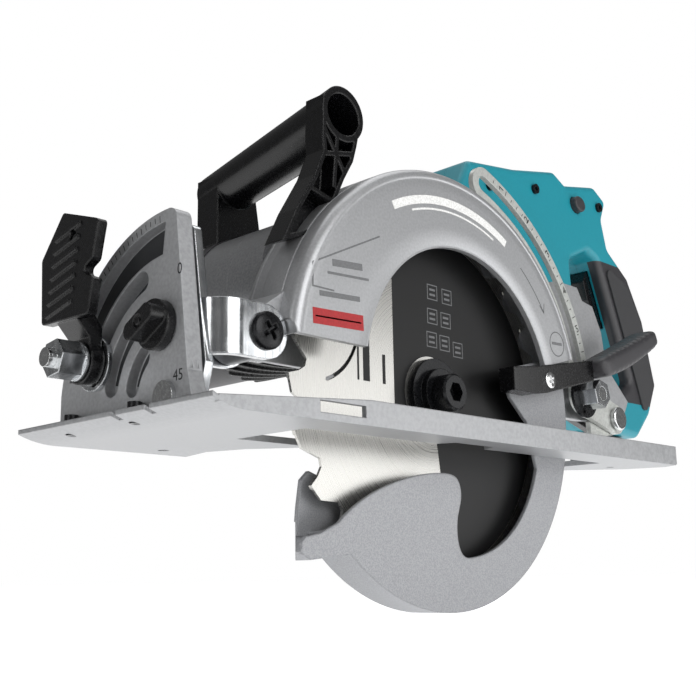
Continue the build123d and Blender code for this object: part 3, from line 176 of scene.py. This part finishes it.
def paint(tree, shader, noise, dark, light, spread=(0.35, 0.65)):
    # colour runs from dark to light with the noise
    ramp = addNode(tree, "ShaderNodeValToRGB", None, {"Fac": noise.outputs["Fac"]})
    first, last = ramp.color_ramp.elements
    first.position, last.position = spread
    first.color, last.color = hexColour(dark), hexColour(light)
    tree.links.new(ramp.outputs["Color"], shader.inputs["Base Color"])


def relief(tree, shader, noise, depth, edge):
    # bump of depth mm on edges rounded by edge mm
    rounded = addNode(tree, "ShaderNodeBevel", {"samples": 4, "Radius": edge * mm})
    bump = addNode(tree, "ShaderNodeBump", {"Strength": 1.0, "Distance": depth * mm},
                   {"Height": noise.outputs["Fac"], "Normal": rounded.outputs["Normal"]})
    tree.links.new(bump.outputs["Normal"], shader.inputs["Normal"])


def roughen(tree, shader, noise, low, high):
    # roughness runs from low to high with the noise
    spread = addNode(tree, "ShaderNodeMapRange",
                     {"From Min": 0.3, "From Max": 0.7, "To Min": low, "To Max": high},
                     {"Value": noise.outputs["Fac"]})
    tree.links.new(spread.outputs["Result"], shader.inputs["Roughness"])


finishSet = {
    # slot: name, dark, light, colour grain mm, roughness range, metallic, bump mm, bump grain mm, edge mm
    # sprayed silver-grey paint on a magnesium casting: satin, with a fine metallic flake
    "case_magnesium": ("silverPaintOnMagnesium", "#a7a8aa", "#b2b3b5", 1.2, (0.34, 0.42), 0.6,
                       0.003, 0.5, 0.7),
    # the same paint on the cast sole, a little duller where it slides
    "sole_magnesium": ("silverPaintOnSole", "#9c9d9f", "#a9aaac", 1.6, (0.36, 0.46), 0.55, 0.006, 0.6, 0.7),
    # textured powder coat: fine salt-and-pepper grain, soft sheen
    "guard_coat": ("texturedPowderCoat", "#8a8b8e", "#a0a1a4", 0.6, (0.42, 0.52), 0.3, 0.015, 0.5, 1.4),
    # satin die-cast aluminium
    "gear_casting": ("dieCastAluminium", "#88898b", "#9b9c9e", 1.0, (0.3, 0.42), 0.6, 0.006, 0.6, 0.8),
    # machined gear steel with an oil film
    "gear_steel": ("machinedSteel", "#77787a", "#8e8f91", 0.8, (0.25, 0.35), 1.0, 0.004, 0.5, 0.2),
    # steel laminations in dark lacquer
    "motor_core": ("lacqueredLaminations", "#2a211a", "#43352a", 0.7, (0.4, 0.55), 0.4, 0.01, 0.5, 0.2),
    # black oxide on steel: nearly black, oily sheen on its turned edges
    "dark_steel": ("blackOxide", "#0e0f11", "#191a1d", 0.9, (0.24, 0.34), 0.5, 0.003, 0.5, 0.5),
    # polished steel: pale, with sharp bright reflections
    "bright_steel": ("polishedSteel", "#c9cacb", "#dcdddd", 1.5, (0.1, 0.2), 1.0, 0.002, 0.8, 0.4),
    # pale satin plate of the depth guide
    "guide_steel": ("satinNickelPlate", "#c6c8c4", "#d4d6d2", 1.4, (0.28, 0.4), 0.5, 0.003, 0.4, 0.5),
    # injection-moulded nylon, spark-eroded texture: even teal with a soft sheen
    "teal_plastic": ("tealNylon", "#127f8e", "#178a99", 1.1, (0.34, 0.44), 0.0, 0.006, 0.35, 1.2),
    # the same moulding in charcoal, a little duller
    "dark_plastic": ("charcoalNylon", "#2b2a2d", "#343336", 1.0, (0.42, 0.52), 0.0, 0.008, 0.35, 0.8),
    # glass-filled nylon off a polished mould: deep black with soft edge lights
    "black_gloss": ("blackNylon", "#050506", "#0a0a0c", 1.3, (0.2, 0.3), 0.0, 0.002, 0.7, 1.2),
    # soft-touch rubber: dull and dark
    "grip_rubber": ("softTouchRubber", "#2a2a2c", "#343436", 0.9, (0.6, 0.72), 0.0, 0.01, 0.4, 0.8),
}


def plainFinish(v):
    name, dark, light, grain, rough, metallic, depth, reliefGrain, edge = v
    material, tree, shader = newFinish(name, rough[0], metallic)
    tone = speckle(tree, grain)
    paint(tree, shader, tone, dark, light)
    roughen(tree, shader, tone, *rough)
    relief(tree, shader, speckle(tree, reliefGrain), depth, edge)
    return material


# grains in mm: the vertical streaks, their stretch along Z, and the bloom; relief and edge in mm; the streaks
# are painted reflection streaks in the colour and drawing lines in the bump
zincSet = {"lines": 3.0, "stretch": (1, 1, 0.06), "bloom": 6.0, "dark": "#b9bcbf", "light": "#dfe1e3",
           "rough": (0.1, 0.22), "relief": 0.02, "edge": 0.8}


def zincPlate(v):
    # bright zinc on pressed steel: mirror-like, with vertical light and dark streaks painted into its colour
    # as reflections, the same streaks raised as faint drawing lines, and a faint cloudy bloom
    material, tree, shader = newFinish("brightZinc", 0.2, 1.0)
    lines = speckle(tree, v["lines"], v["stretch"])
    # painted reflection: the colour runs from dark to light along the vertical streaks
    paint(tree, shader, lines, v["dark"], v["light"])
    roughen(tree, shader, speckle(tree, v["bloom"]), *v["rough"])
    relief(tree, shader, lines, v["relief"], v["edge"])
    return material


groundSet = {"ring": 0.5, "dark": "#b9b8b4", "light": "#cbcac6", "rough": (0.24, 0.36), "relief": 0.002,
             "edge": 0.15}


def bladeSteel(v):
    # sheet steel ground on a turntable: rings round the arbor, so the sheen runs across them
    material, tree, shader = newFinish("groundBladeSteel", 0.28, 1.0)
    coords = addNode(tree, "ShaderNodeTexCoord")
    centred = addNode(tree, "ShaderNodeVectorMath",
                      {"operation": "SUBTRACT", 1: (arbor[0] * mm, 0, arbor[1] * mm)},
                      {0: coords.outputs["Object"]})
    flat = addNode(tree, "ShaderNodeVectorMath", {"operation": "MULTIPLY", 1: (1, 0, 1)},
                   {0: centred.outputs["Vector"]})
    reach = addNode(tree, "ShaderNodeVectorMath", {"operation": "LENGTH"}, {0: flat.outputs["Vector"]})
    rings = addNode(tree, "ShaderNodeTexNoise",
                    {"noise_dimensions": "1D", "Scale": 1 / (v["ring"] * mm), "Detail": 4.0},
                    {"W": reach.outputs["Value"]})
    paint(tree, shader, rings, v["dark"], v["light"], (0.3, 0.7))
    roughen(tree, shader, rings, *v["rough"])
    relief(tree, shader, rings, v["relief"], v["edge"])
    return material


def lampLens():
    # clear moulded acrylic: glassy, with a faint cold tint
    material, tree, shader = newFinish("clearLens", 0.08, 0.0, 1.49)
    shader.inputs["Transmission Weight"].default_value = 0.7
    paint(tree, shader, speckle(tree, 2.0), "#dfe6ea", "#f2f6f8")
    return material


# the charcoal's edge runs through top and low (x and z); seam is the middle of the teal stripe on Y
shellSet = {"seam": -45.0, "seamHalf": 9.0, "top": (-317.0, 144.0), "topSpare": 2.0, "low": (-352.0, 60.0),
            "heel": 52.0, "grain": 1.1, "teal": ("#127f8e", "#178a99"), "charcoal": ("#2a292c", "#343336"),
            "reliefGrain": 0.35, "relief": 0.006, "edge": 1.2}


def twoToneShell(v):
    # teal shell with a flush charcoal elastomer over the grip: charcoal beyond a slanting line, above the
    # heel, and off the middle seam, where the teal shows as a stripe
    material, tree, shader = newFinish("tealShellWithGrip", 0.42)
    place = addNode(tree, "ShaderNodeTexCoord").outputs["Object"]
    axes = addNode(tree, "ShaderNodeSeparateXYZ", None, {"Vector": place})
    line = np.array([v["top"][0] - v["low"][0], v["top"][1] - v["low"][1]])
    square = np.array([-line[1], line[0]]) / np.linalg.norm(line)
    reach = addNode(tree, "ShaderNodeVectorMath", {"operation": "DOT_PRODUCT", 1: (square[0], 0, square[1])},
                    {0: place})
    start = (square[0] * v["top"][0] + square[1] * v["top"][1]) * mm
    aside = addNode(tree, "ShaderNodeMath", {"operation": "ADD", 1: -v["seam"] * mm}, {0: axes.outputs["Y"]})
    away = addNode(tree, "ShaderNodeMath", {"operation": "ABSOLUTE"}, {0: aside.outputs["Value"]})
    tests = []
    for operation, level, source in (("GREATER_THAN", start, reach.outputs["Value"]),
                                     ("GREATER_THAN", v["heel"] * mm, axes.outputs["Z"]),
                                     ("LESS_THAN", (v["top"][1] + v["topSpare"]) * mm, axes.outputs["Z"]),
                                     ("GREATER_THAN", v["seamHalf"] * mm, away.outputs["Value"])):
        tests.append(addNode(tree, "ShaderNodeMath", {"operation": operation, 1: level}, {0: source}))
    mask = tests[0]
    for other in tests[1:]:
        mask = addNode(tree, "ShaderNodeMath", {"operation": "MULTIPLY"},
                       {0: mask.outputs["Value"], 1: other.outputs["Value"]})
    tone = speckle(tree, v["grain"])
    mix = addNode(tree, "ShaderNodeMix", {"data_type": "RGBA"})
    tree.links.new(mask.outputs["Value"], mix.inputs[0])
    # the colour mix takes its two colours on inputs 6 and 7
    for number, (dark, light) in ((6, v["teal"]), (7, v["charcoal"])):
        ramp = addNode(tree, "ShaderNodeValToRGB", None, {"Fac": tone.outputs["Fac"]})
        ramp.color_ramp.elements[0].color = hexColour(dark)
        ramp.color_ramp.elements[1].color = hexColour(light)
        tree.links.new(ramp.outputs["Color"], mix.inputs[number])
    tree.links.new(mix.outputs[2], shader.inputs["Base Color"])
    relief(tree, shader, speckle(tree, v["reliefGrain"]), v["relief"], v["edge"])
    return material


def inkAndShade(name, colour):
    # screen-printed ink, also used for the painted shade on the quadrant's pocket floors: matt and slightly
    # uneven
    material, tree, shader = newFinish(name, 0.5, 0.0, 1.45)
    shade = "#" + "".join("%02x" % int(int(colour[i:i + 2], 16) * 0.9) for i in (1, 3, 5))
    paint(tree, shader, speckle(tree, 0.8), shade, colour)
    return material


finishes = {slot: plainFinish(values) for slot, values in finishSet.items()}
finishes["zinc_steel"] = zincPlate(zincSet)
finishes["blade_steel"] = bladeSteel(groundSet)
finishes["lamp_lens"] = lampLens()
shell = twoToneShell(shellSet)
inksAndShade = {"black": inkAndShade("blackInk", "#0d0d0e"), "red": inkAndShade("redInk", "#a8272b"),
        "white": inkAndShade("whiteInk", "#e6e6e4"), "grey": inkAndShade("greyInk", "#6d6e70"),
        # painted shade: a dark matt sheet for the floors of the quadrant's pockets
        "pocketShade": inkAndShade("darkPrimer", "#2b2c2e")}

for part in frame["record"]["subparts"]:
    for place in frame["nodes"][part["node"]].material_slots:
        place.link = "OBJECT"
        place.material = finishes[part["material_slot"]]
for name in ("rear_handle_left", "rear_handle_right"):
    for place in frame["nodes"][name].material_slots:
        place.material = shell
print("finishes on", len(frame["nodes"]), "parts")


def finishPiece(name, points, faces, slot, body, material=None):
    # points in mm; the piece stays at the origin with its place in its mesh
    mesh = bpy.data.meshes.new(name)
    mesh.from_pydata((np.asarray(points, float).reshape(-1, 3) * mm).tolist(), [], faces)
    mesh.polygons.foreach_set("use_smooth", np.ones(len(mesh.polygons), bool))
    mesh.set_sharp_from_angle(angle=math.radians(sharpEdge))
    mesh.materials.append(material or finishes[slot])
    mesh.update()
    piece = bpy.data.objects.new(name, mesh)
    bpy.context.scene.collection.objects.link(piece)
    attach(piece, body)
    return piece


def gridFaces(rows, columns, closeRows=False, closeColumns=False, flip=False):
    # quads of a rows by columns grid of points, wrapped round where asked
    i, j = np.meshgrid(np.arange(rows if closeRows else rows - 1),
                       np.arange(columns if closeColumns else columns - 1), indexing="ij")
    nextI, nextJ = (i + 1) % rows, (j + 1) % columns
    quads = np.stack([i * columns + j, nextI * columns + j, nextI * columns + nextJ, i * columns + nextJ], -1)
    quads = quads.reshape(-1, 4)
    return (quads[:, ::-1] if flip else quads).tolist()


def ribbon(outline, width, closed=True):
    # a band of that width along a flat outline: each point moves half a width to both sides of its bisector
    line = np.asarray(outline, float)
    ahead = np.roll(line, -1, 0) - line
    behind = line - np.roll(line, 1, 0)
    if not closed:
        ahead[-1], behind[0] = behind[-1], ahead[0]
    ahead /= np.linalg.norm(ahead, axis=1)[:, None]
    behind /= np.linalg.norm(behind, axis=1)[:, None]
    middle = ahead + behind
    middle /= np.linalg.norm(middle, axis=1)[:, None]
    normal = np.stack([-middle[:, 1], middle[:, 0]], 1)
    reach = width / 2 / np.maximum(0.4, (middle * ahead).sum(1))[:, None]
    return np.stack([line - normal * reach, line + normal * reach], 1)


def flatPrint(name, outline, width, y, slot, body, material, closed=True):
    # a printed line on a face square to Y
    band = ribbon(outline, width, closed)
    points = np.stack([band[..., 0], np.full(band.shape[:2], y), band[..., 1]], -1)
    faces = gridFaces(len(band), 2, closeRows=closed)
    return finishPiece(name, points, faces, slot, body, material)


def circle(centre, radius, first=0.0, last=360.0, count=48):
    angle = np.radians(np.linspace(first, last, count, endpoint=abs(last - first) < 360))
    return np.stack([centre[0] + radius * np.cos(angle), centre[1] + radius * np.sin(angle)], 1)


# opening: x, z and radius of its circle; rearStart and rearWay: a point and the direction of the case's
# sloping rear edge from the arbor; level: height of its front edge over the arbor
caseSet = {"opening": (-125.0, 27.0, 71.3), "radius": 109.0, "skin": 0.45, "shoulder": 3.4, "notch": 12.4,
           "level": 13.0, "rearStart": (-75.0, 21.9), "rearWay": (-47.0, 12.6), "turns": 200}


def caseSkin(v):
    # Round the arbor at angle a, the profile runs from the opening's edge across the face, over the
    # shoulder and back along the rim. Radius on the face = opening + share * (shoulder - opening), where the
    # opening is the far crossing of the ray at a with the opening's off-centre circle.
    dx, dz = v["opening"][0] - arbor[0], v["opening"][1] - arbor[1]
    # share of the face, radius past the shoulder, y
    profile = np.array([
        (0.0, 0, 15.2), (0.0, 0, 17.2), (0.008, 0, 17.75), (0.03, 0, 18.08), (0.3, 0, 18.08), (0.8, 0, 18.08),
        (0.93, 0, 18.08), (0.938, 0, 17.98), (0.952, 0, 18.0), (0.965, 0, 18.3), (0.985, 0, 18.32),
        (1.0, 0, 18.2), (1.0, 1.2, 17.7), (1.0, 2.2, 17.0), (1.0, 3.0, 15.9), (1.0, 3.35, 14.6),
        (1.0, 3.4, 8.6), (1.0, 3.35, 8.2), (1.0, 3.0, 8.0), (1.0, 3.0, 7.1), (1.0, 3.35, 6.9),
        (1.0, 3.4, 6.5), (1.0, 3.4, -5.6), (1.0, 3.3, -5.9), (1.0, 3.05, -6.1), (1.0, 3.05, -12.2),
        (1.0, 3.35, -12.5), (1.0, 3.4, -13.0), (1.0, 3.3, -14.4), (1.0, 2.9, -14.9),
    ])
    share, past, y = profile[:, 0], profile[:, 1], profile[:, 2]
    shoulder = v["radius"] + v["skin"] - v["shoulder"]
    u = np.linspace(0, 1, v["turns"])[:, None]
    radius = np.full((v["turns"], len(profile)), shoulder) + past
    notchReach = math.hypot(pivot[0] - arbor[0], pivot[1] - arbor[1])
    notchAngle = math.atan2(pivot[1] - arbor[1], pivot[0] - arbor[0])
    (startX, startZ), (wayX, wayZ) = v["rearStart"], v["rearWay"]
    along = startX * wayX + startZ * wayZ
    square, far = wayX ** 2 + wayZ ** 2, startX ** 2 + startZ ** 2
    # both ends depend on the radius and the radius on the angle, so four rounds settle them
    for step in range(4):
        # front end: the level edge, or the notch round the depth pivot
        level = np.arcsin(v["level"] / radius)
        inside = (radius ** 2 + notchReach ** 2 - v["notch"] ** 2) / (2 * radius * notchReach)
        front = np.maximum(level, notchAngle + np.arccos(np.clip(inside, -1, 1)))
        # rear end: where the sloping edge crosses the radius, at t along it
        t = (-along + np.sqrt(np.maximum(along ** 2 - square * (far - radius ** 2), 0))) / square
        rear = np.arctan2(startZ + wayZ * t, startX + wayX * t)
        angle = front + u * (rear - front)
        side = dx * np.cos(angle) + dz * np.sin(angle)
        opening = side + np.sqrt(v["opening"][2] ** 2 - (dx * dx + dz * dz - side ** 2))
        radius = np.where(past > 0, shoulder + past, opening + share * (shoulder - opening))
    points = np.stack([arbor[0] + radius * np.cos(angle), np.broadcast_to(y, radius.shape),
                       arbor[1] + radius * np.sin(angle)], -1)
    faces = gridFaces(v["turns"], len(profile), flip=True)
    return finishPiece("caseSkin", points, faces, "case_magnesium", "saw_head")


caseSkin(caseSet)
print("case skin done")


printSet = {
    "y": 18.14, "line": 0.7, "bandRadius": 94.0, "thinRadius": 89.4, "arrowRadius": 92.0, "arrowTip": 146.0,
    "frame": [(-64, 92), (-21.5, 71.5), (-21.2, 61), (-34, 61)],
    # start x, end x, z and width of each bar; its far end is barRise higher
    "bars": ((-33, -52, 73.5, 3.2), (-30, -56, 68.5, 1.2), (-25, -50, 58.5, 2.4)), "barRise": 1.4,
    "plaque": [(-21, 48.2), (-52, 49.4)], "plaqueWidth": 7.0, "plaqueLine": [(-22.5, 48.2), (-50.5, 49.3)],
    "ring": (-205.4, 62.2), "ringRadius": 6.6, "ringBar": [(-200.5, 62.2), (-210.2, 62.6)],
}


def casePrints(v):
    # generic marks only: two bands, a framed corner, plain bars, a plain red plaque, a ring, a turning arrow
    line = v["line"]

    def mark(name, outline, width, colour, closed=False):
        flatPrint(name, np.array(outline, float), width, v["y"], "case_magnesium", "saw_head", inksAndShade[colour],
                  closed)

    mark("markBand", circle(arbor, v["bandRadius"], 62, 118, 60), 4.2, "white")
    mark("markBandThin", circle(arbor, v["thinRadius"], 70, 112, 50), 1.0, "white")
    mark("markFrame", v["frame"], 0.8, "grey")
    for step, (start, end, level, width) in enumerate(v["bars"]):
        mark("markBar%d" % step, [(start, level), (end, level + v["barRise"])], width, "grey")
    mark("markPlaque", v["plaque"], v["plaqueWidth"], "red")
    mark("markPlaqueLine", v["plaqueLine"], line, "white")
    mark("markRing", circle(v["ring"], v["ringRadius"]), line, "grey", True)
    mark("markRingBar", v["ringBar"], 1.6, "grey")
    mark("arrowShaft", circle(arbor, v["arrowRadius"], 128, v["arrowTip"], 24), line, "grey")
    tip = circle(arbor, v["arrowRadius"], v["arrowTip"], v["arrowTip"] + 0.1, 2)[0]
    mark("arrowHead", [tip + (3.6, 3.4), tip, tip + (-0.8, 5.0)], line, "grey")


casePrints(printSet)


paddleSet = {"from": (-237.2, 20.0, 51.5), "to": (-300.0, 20.0, 79.0), "halfWide": 8.6, "halfHigh": 5.2,
             "swell": 1.4, "flare": 1.2, "sag": 1.6, "ribs": 13, "ribDepth": 0.4, "ribbed": (0.12, 0.95)}


def leverPaddle(v):
    # Superellipse sections (power 4) on a slightly bowed line. Half height and half width grow towards the
    # tip, less a rib groove, and both ends close by a fourteenth-power fall-off.
    t = np.linspace(0, 1, 150)
    share = 1 - np.abs(2 * t - 1) ** 14
    close = np.maximum(share, 0) ** 0.25
    groove = 0.5 + 0.5 * np.tanh(4 * np.cos(2 * np.pi * v["ribs"] * t))
    groove *= (t > v["ribbed"][0]) & (t < v["ribbed"][1])
    high = (v["halfHigh"] + v["swell"] * np.sin(np.pi * t ** 0.7) - v["ribDepth"] * groove) * close
    wide = (v["halfWide"] + v["flare"] * t) * close
    start, end = np.array(v["from"]), np.array(v["to"])
    centre = start + (end - start) * t[:, None]
    centre[:, 2] -= v["sag"] * np.sin(np.pi * t)
    along = (end - start) / np.linalg.norm(end - start)
    upright = np.array([along[2], 0, -along[0]])
    a = np.linspace(0, 2 * np.pi, 48, endpoint=False)
    c, s = np.cos(a), np.sin(a)
    across = np.sign(c) * np.abs(c) ** 0.5
    over = np.sign(s) * np.abs(s) ** 0.5
    points = (centre[:, None, :] + wide[:, None, None] * across[None, :, None] * np.array([0, 1.0, 0])
              + high[:, None, None] * over[None, :, None] * upright)
    faces = gridFaces(len(t), len(a), closeColumns=True, flip=True)
    piece = finishPiece("leverPaddle", points, faces, "dark_plastic", "swing_guard")
    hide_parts("guard_lever_grip")


leverPaddle(paddleSet)


screwSet = {
    # name: centre, head radius, head height, shank radius, shank length, slot, body, CAD node it replaces
    "pivotScrew": ((0, 12.5, 39.0), 8.0, 3.4, 4.0, 32.5, "dark_steel", "tilt_frame", "depth_pivot_bolt"),
    "leverScrew": ((-193, 20.5, 40.5), 4.4, 1.2, 1.5, 0.0, "bright_steel", "swing_guard",
                   "guard_lever_screw"),
}
# the cross recess: its turn in radians; half width, reach and edges as shares of the head's radius; and its
# depth as a share of the head's height
crossSet = {"turn": 0.6, "half": 0.105, "halfEdge": 0.012, "reach": 0.48, "reachEdge": 0.02, "deep": 0.75}


def crossScrew(name, centre, headRadius, headHigh, shankRadius, shankLong, slot, body, replaced):
    # Turned about Y: dome, edge, underside, shank. On the dome the height drops by the recess depth where
    # the smaller of |x| and |z| is under the slot's half-width and the larger is inside its reach.
    v = crossSet
    share = np.concatenate([np.linspace(0.0, 0.62, 26), np.linspace(0.66, 1.0, 10)])
    a = np.linspace(0, 2 * np.pi, 96, endpoint=False)
    r, angle = np.meshgrid(share * headRadius, a, indexing="ij")
    height = headHigh * (0.45 + 0.55 * np.sqrt(np.maximum(0, 1 - (r / headRadius) ** 2)))
    x, z = r * np.cos(angle + v["turn"]), r * np.sin(angle + v["turn"])
    small, large = np.minimum(np.abs(x), np.abs(z)), np.maximum(np.abs(x), np.abs(z))
    inCross = 1 / (1 + np.exp((small - v["half"] * headRadius) / (v["halfEdge"] * headRadius)))
    inCross = inCross / (1 + np.exp((large - v["reach"] * headRadius) / (v["reachEdge"] * headRadius)))
    height = height - v["deep"] * headHigh * inCross * (1 - large / headRadius * 0.6)
    top = np.stack([r * np.cos(angle), height, r * np.sin(angle)], -1)
    rest = []
    for ringRadius, ringY in ((headRadius, 0.0), (shankRadius, 0.0), (shankRadius, -shankLong),
                              (0.0, -shankLong)):
        rest.append(np.stack([ringRadius * np.cos(a), np.full(len(a), ringY), ringRadius * np.sin(a)], -1))
    points = np.concatenate([top, np.array(rest)]) + np.array(centre)
    faces = gridFaces(len(points), len(a), closeColumns=True)
    piece = finishPiece(name, points, faces, slot, body)
    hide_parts(replaced)


for name, values in screwSet.items():
    crossScrew(name, *values)
print("paddle and screws done")


guideSet = {"pin": (-286.3, 30.2), "lock": (-249.9, 39.9), "ratio": 0.537, "raise": 34.0, "y": 4.66,
            "marks": 27, "spare": 1.5, "line": 0.45, "inner": 5.4, "short": 7.3, "long": 8.7,
            "numbers": 6, "numberFrom": 31.0, "numberStep": 5.4, "numberAside": -7.2, "numberSize": 6.2,
            "numberLift": 0.03}


def turned(point, about, degrees):
    a = math.radians(degrees)
    dx, dz = point[0] - about[0], point[1] - about[1]
    return np.array([about[0] + dx * math.cos(a) - dz * math.sin(a),
                     about[1] + dx * math.sin(a) + dz * math.cos(a)])


def guidePoint(raised, aside=0.0):
    # the lock bolt in the guide's own frame once the head is raised, and a point square to its path
    def onLine(angle):
        return turned(turned(guideSet["lock"], pivot, -angle), guideSet["pin"], -guideSet["ratio"] * angle)
    way = onLine(raised + 0.05) - onLine(raised - 0.05)
    way /= np.linalg.norm(way)
    return onLine(raised) + aside * np.array([way[1], -way[0]])


def guideScale(v):
    for mark in range(v["marks"]):
        raised = v["spare"] + mark * (v["raise"] - 2 * v["spare"]) / (v["marks"] - 1)
        reach = v["long"] if mark % 4 == 0 else v["short"]
        line = np.array([guidePoint(raised, -v["inner"]), guidePoint(raised, -reach)])
        flatPrint("guideMark%02d" % mark, line, v["line"], v["y"], "guide_steel", "guide", inksAndShade["black"],
                  closed=False)


def numberPiece(name, text, size, place, across, over, slot, body):
    # a printed number: the text is made a mesh, then its flat axes are laid along two directions
    curve = bpy.data.curves.new(name, "FONT")
    curve.body, curve.size, curve.align_x, curve.align_y = text, size, "CENTER", "CENTER"
    holder = bpy.data.objects.new(name + "Text", curve)
    bpy.context.scene.collection.objects.link(holder)
    bpy.context.view_layer.update()
    mesh = bpy.data.meshes.new_from_object(holder.evaluated_get(bpy.context.evaluated_depsgraph_get()))
    flat = np.empty(len(mesh.vertices) * 3)
    mesh.vertices.foreach_get("co", flat)
    flat = flat.reshape(-1, 3)
    points = np.array(place) + flat[:, :1] * np.array(across) + flat[:, 1:2] * np.array(over)
    faces = [list(face.vertices) for face in mesh.polygons]
    bpy.data.objects.remove(holder)
    bpy.data.meshes.remove(mesh)
    return finishPiece(name, points, faces, slot, body, inksAndShade["black"])


def guideNumbers(v):
    # each number stands square to the slot, half a degree of raise giving its direction
    for number in range(v["numbers"]):
        raised = v["numberFrom"] - v["numberStep"] * number
        spot = guidePoint(raised, v["numberAside"])
        ahead = guidePoint(raised + 0.5, v["numberAside"]) - spot
        ahead /= np.linalg.norm(ahead)
        numberPiece("guideNumber%d" % (number + 1), str(number + 1), v["numberSize"],
                    (spot[0], v["y"] + v["numberLift"], spot[1]),
                    (-ahead[1], 0, ahead[0]), (ahead[0], 0, ahead[1]), "guide_steel", "guide")


guideScale(guideSet)
guideNumbers(guideSet)


quadrantSet = {"x": 37.05, "inner": 73.0, "outer": 75.4, "fourth": 0.6, "line": 0.4, "step": 2.5,
               "first": 95.0, "marks": 29,
               "numbers": {"45": (37.06, 3.2, 17.5), "0": (37.06, 3.2, 60.0)}, "numberSize": 6.5}


def quadrantScale(v):
    # radial marks about the bevel axis, every fourth one longer
    for count in range(v["marks"]):
        a = math.radians(v["first"] + v["step"] * count)
        inner = v["inner"] - (0 if count % 4 else v["fourth"])
        line = np.array([(tilt[0] + r * math.cos(a), tilt[1] + r * math.sin(a)) for r in (inner, v["outer"])])
        band = ribbon(line, v["line"], closed=False)
        points = np.stack([np.full(band.shape[:2], v["x"]), band[..., 0], band[..., 1]], -1)
        finishPiece("quadrantMark%02d" % count, points, gridFaces(2, 2, flip=True), "sole_magnesium", "base",
                    inksAndShade["black"])


def quadrantNumbers(v):
    for text, place in v["numbers"].items():
        numberPiece("quadrantNumber" + text, text, v["numberSize"], place, (0, 1, 0), (0, 0, 1),
                    "sole_magnesium", "base")


# each pocket: inner and outer radius in mm, first and last angle in degrees
pocketSet = {"x": 32.05, "columns": 40, "rows": 4,
             "pockets": ((58.8, 71.7, 93.0, 165.6), (34.4, 43.6, 127.0, 166.0), (20.0, 28.0, 132.0, 163.0))}


def quadrantPockets(v):
    # floors of the cast pockets, covered with a dark sheet of painted shade: ring sectors about the bevel
    # axis
    for number, (inner, outer, first, last) in enumerate(v["pockets"]):
        a, r = np.meshgrid(np.radians(np.linspace(first, last, v["columns"])),
                           np.linspace(inner, outer, v["rows"]), indexing="ij")
        points = np.stack([np.full(a.shape, v["x"]), tilt[0] + r * np.cos(a), tilt[1] + r * np.sin(a)], -1)
        finishPiece("quadrantPocket%d" % number, points, gridFaces(v["columns"], v["rows"], flip=True),
                    "sole_magnesium", "base", inksAndShade["pocketShade"])


quadrantScale(quadrantSet)
quadrantPockets(pocketSet)
quadrantNumbers(quadrantSet)
print("scales done")


bladeSet = {
    "y": 0.74, "lift": 0.03, "inner": 19.5, "outer": 84.0, "edge": 27.0, "first": -35.0, "last": 262.0,
    "square": 7.4, "squareLine": 0.5, "barHalf": 2.2, "barAside": 1.3, "barWidth": 1.1,
    "squares": [(-121.5, 79.5), (-121.0, 67.0), (-120.0, 55.0), (-133.0, 79.0), (-131.5, 66.5),
                (-130.0, 54.5), (-140.5, 52.5)],
    # distance ahead of the arbor, width and height of each upright bar; lineFoot is its foot over the arbor
    "lines": ((46.0, 4.4, 36), (51.5, 1.2, 30), (34.0, 2.0, 14)), "lineFoot": 2,
}


def bladePrint(v):
    # Radius from the flange to a smooth minimum of the outer circle and a straight front edge:
    # (outer ** -12 + (edge / cos a) ** -12) ** (-1 / 12).
    a = np.radians(np.linspace(v["first"], v["last"], 140))
    straight = np.where(np.cos(a) > 0.05, v["edge"] / np.maximum(np.cos(a), 0.05), 600.0)
    outer = (v["outer"] ** -12.0 + straight ** -12.0) ** (-1 / 12)
    radius = v["inner"] + np.linspace(0, 1, 5)[None, :] * (outer[:, None] - v["inner"])
    points = np.stack([arbor[0] + radius * np.cos(a)[:, None], np.full(radius.shape, v["y"]),
                       arbor[1] + radius * np.sin(a)[:, None]], -1)
    finishPiece("bladeInk", points, gridFaces(len(a), 5, flip=True), "blade_steel", "spindle", inksAndShade["black"])

    def mark(name, outline, width, colour, closed=False):
        flatPrint(name, outline, width, v["y"] + v["lift"], "blade_steel", "spindle", inksAndShade[colour], closed)

    for number, (x, z) in enumerate(v["squares"]):
        # small plain panels with two bars each
        half, long = v["square"] / 2, v["barHalf"]
        corners = [(x - half, z - half), (x + half, z - half), (x + half, z + half), (x - half, z + half)]
        mark("bladePanel%d" % number, corners, v["squareLine"], "grey", True)
        for letter, level in (("A", z - v["barAside"]), ("B", z + v["barAside"])):
            mark("bladeBar%d%s" % (number, letter), [(x - long, level), (x + long, level)], v["barWidth"],
                 "grey")
    for number, (ahead, width, high) in enumerate(v["lines"]):
        # plain upright bars where a size table stands
        x, foot = arbor[0] + ahead, arbor[1] + v["lineFoot"]
        mark("bladeLine%d" % number, [(x, foot), (x, foot + high)], width, "black")


bladePrint(bladeSet)


motorSet = {"centre": (-56.0, 72.0), "radius": 35.5, "ribHigh": 1.1, "ribStep": 8.0, "slant": 0.8,
            "from": -16.2, "to": -63.4, "first": 222.0, "last": 330.0, "columns": 160, "rows": 60,
            "wall": 0.35}


def motorCover(v):
    # black ribbed skin round the underside of the motor: radius = base + rib height * smooth stripes slanting
    # across it
    a, y = np.meshgrid(np.radians(np.linspace(v["first"], v["last"], v["columns"])),
                       np.linspace(v["from"], v["to"], v["rows"]), indexing="ij")
    phase = (a * v["radius"] + v["slant"] * y) / v["ribStep"]
    stripes = 0.5 + 0.5 * np.tanh(6 * (np.cos(2 * np.pi * phase) - 0.55))
    radius = v["radius"] + v["ribHigh"] * stripes
    points = np.stack([v["centre"][0] + radius * np.cos(a), y, v["centre"][1] + radius * np.sin(a)], -1)
    piece = finishPiece("motorCover", points, gridFaces(v["columns"], v["rows"], flip=True), "black_gloss",
                        "saw_head")
    wall = piece.modifiers.new("wall", "SOLIDIFY")
    wall.thickness, wall.offset = v["wall"] * mm, -1


motorCover(motorSet)
print("motor cover done")
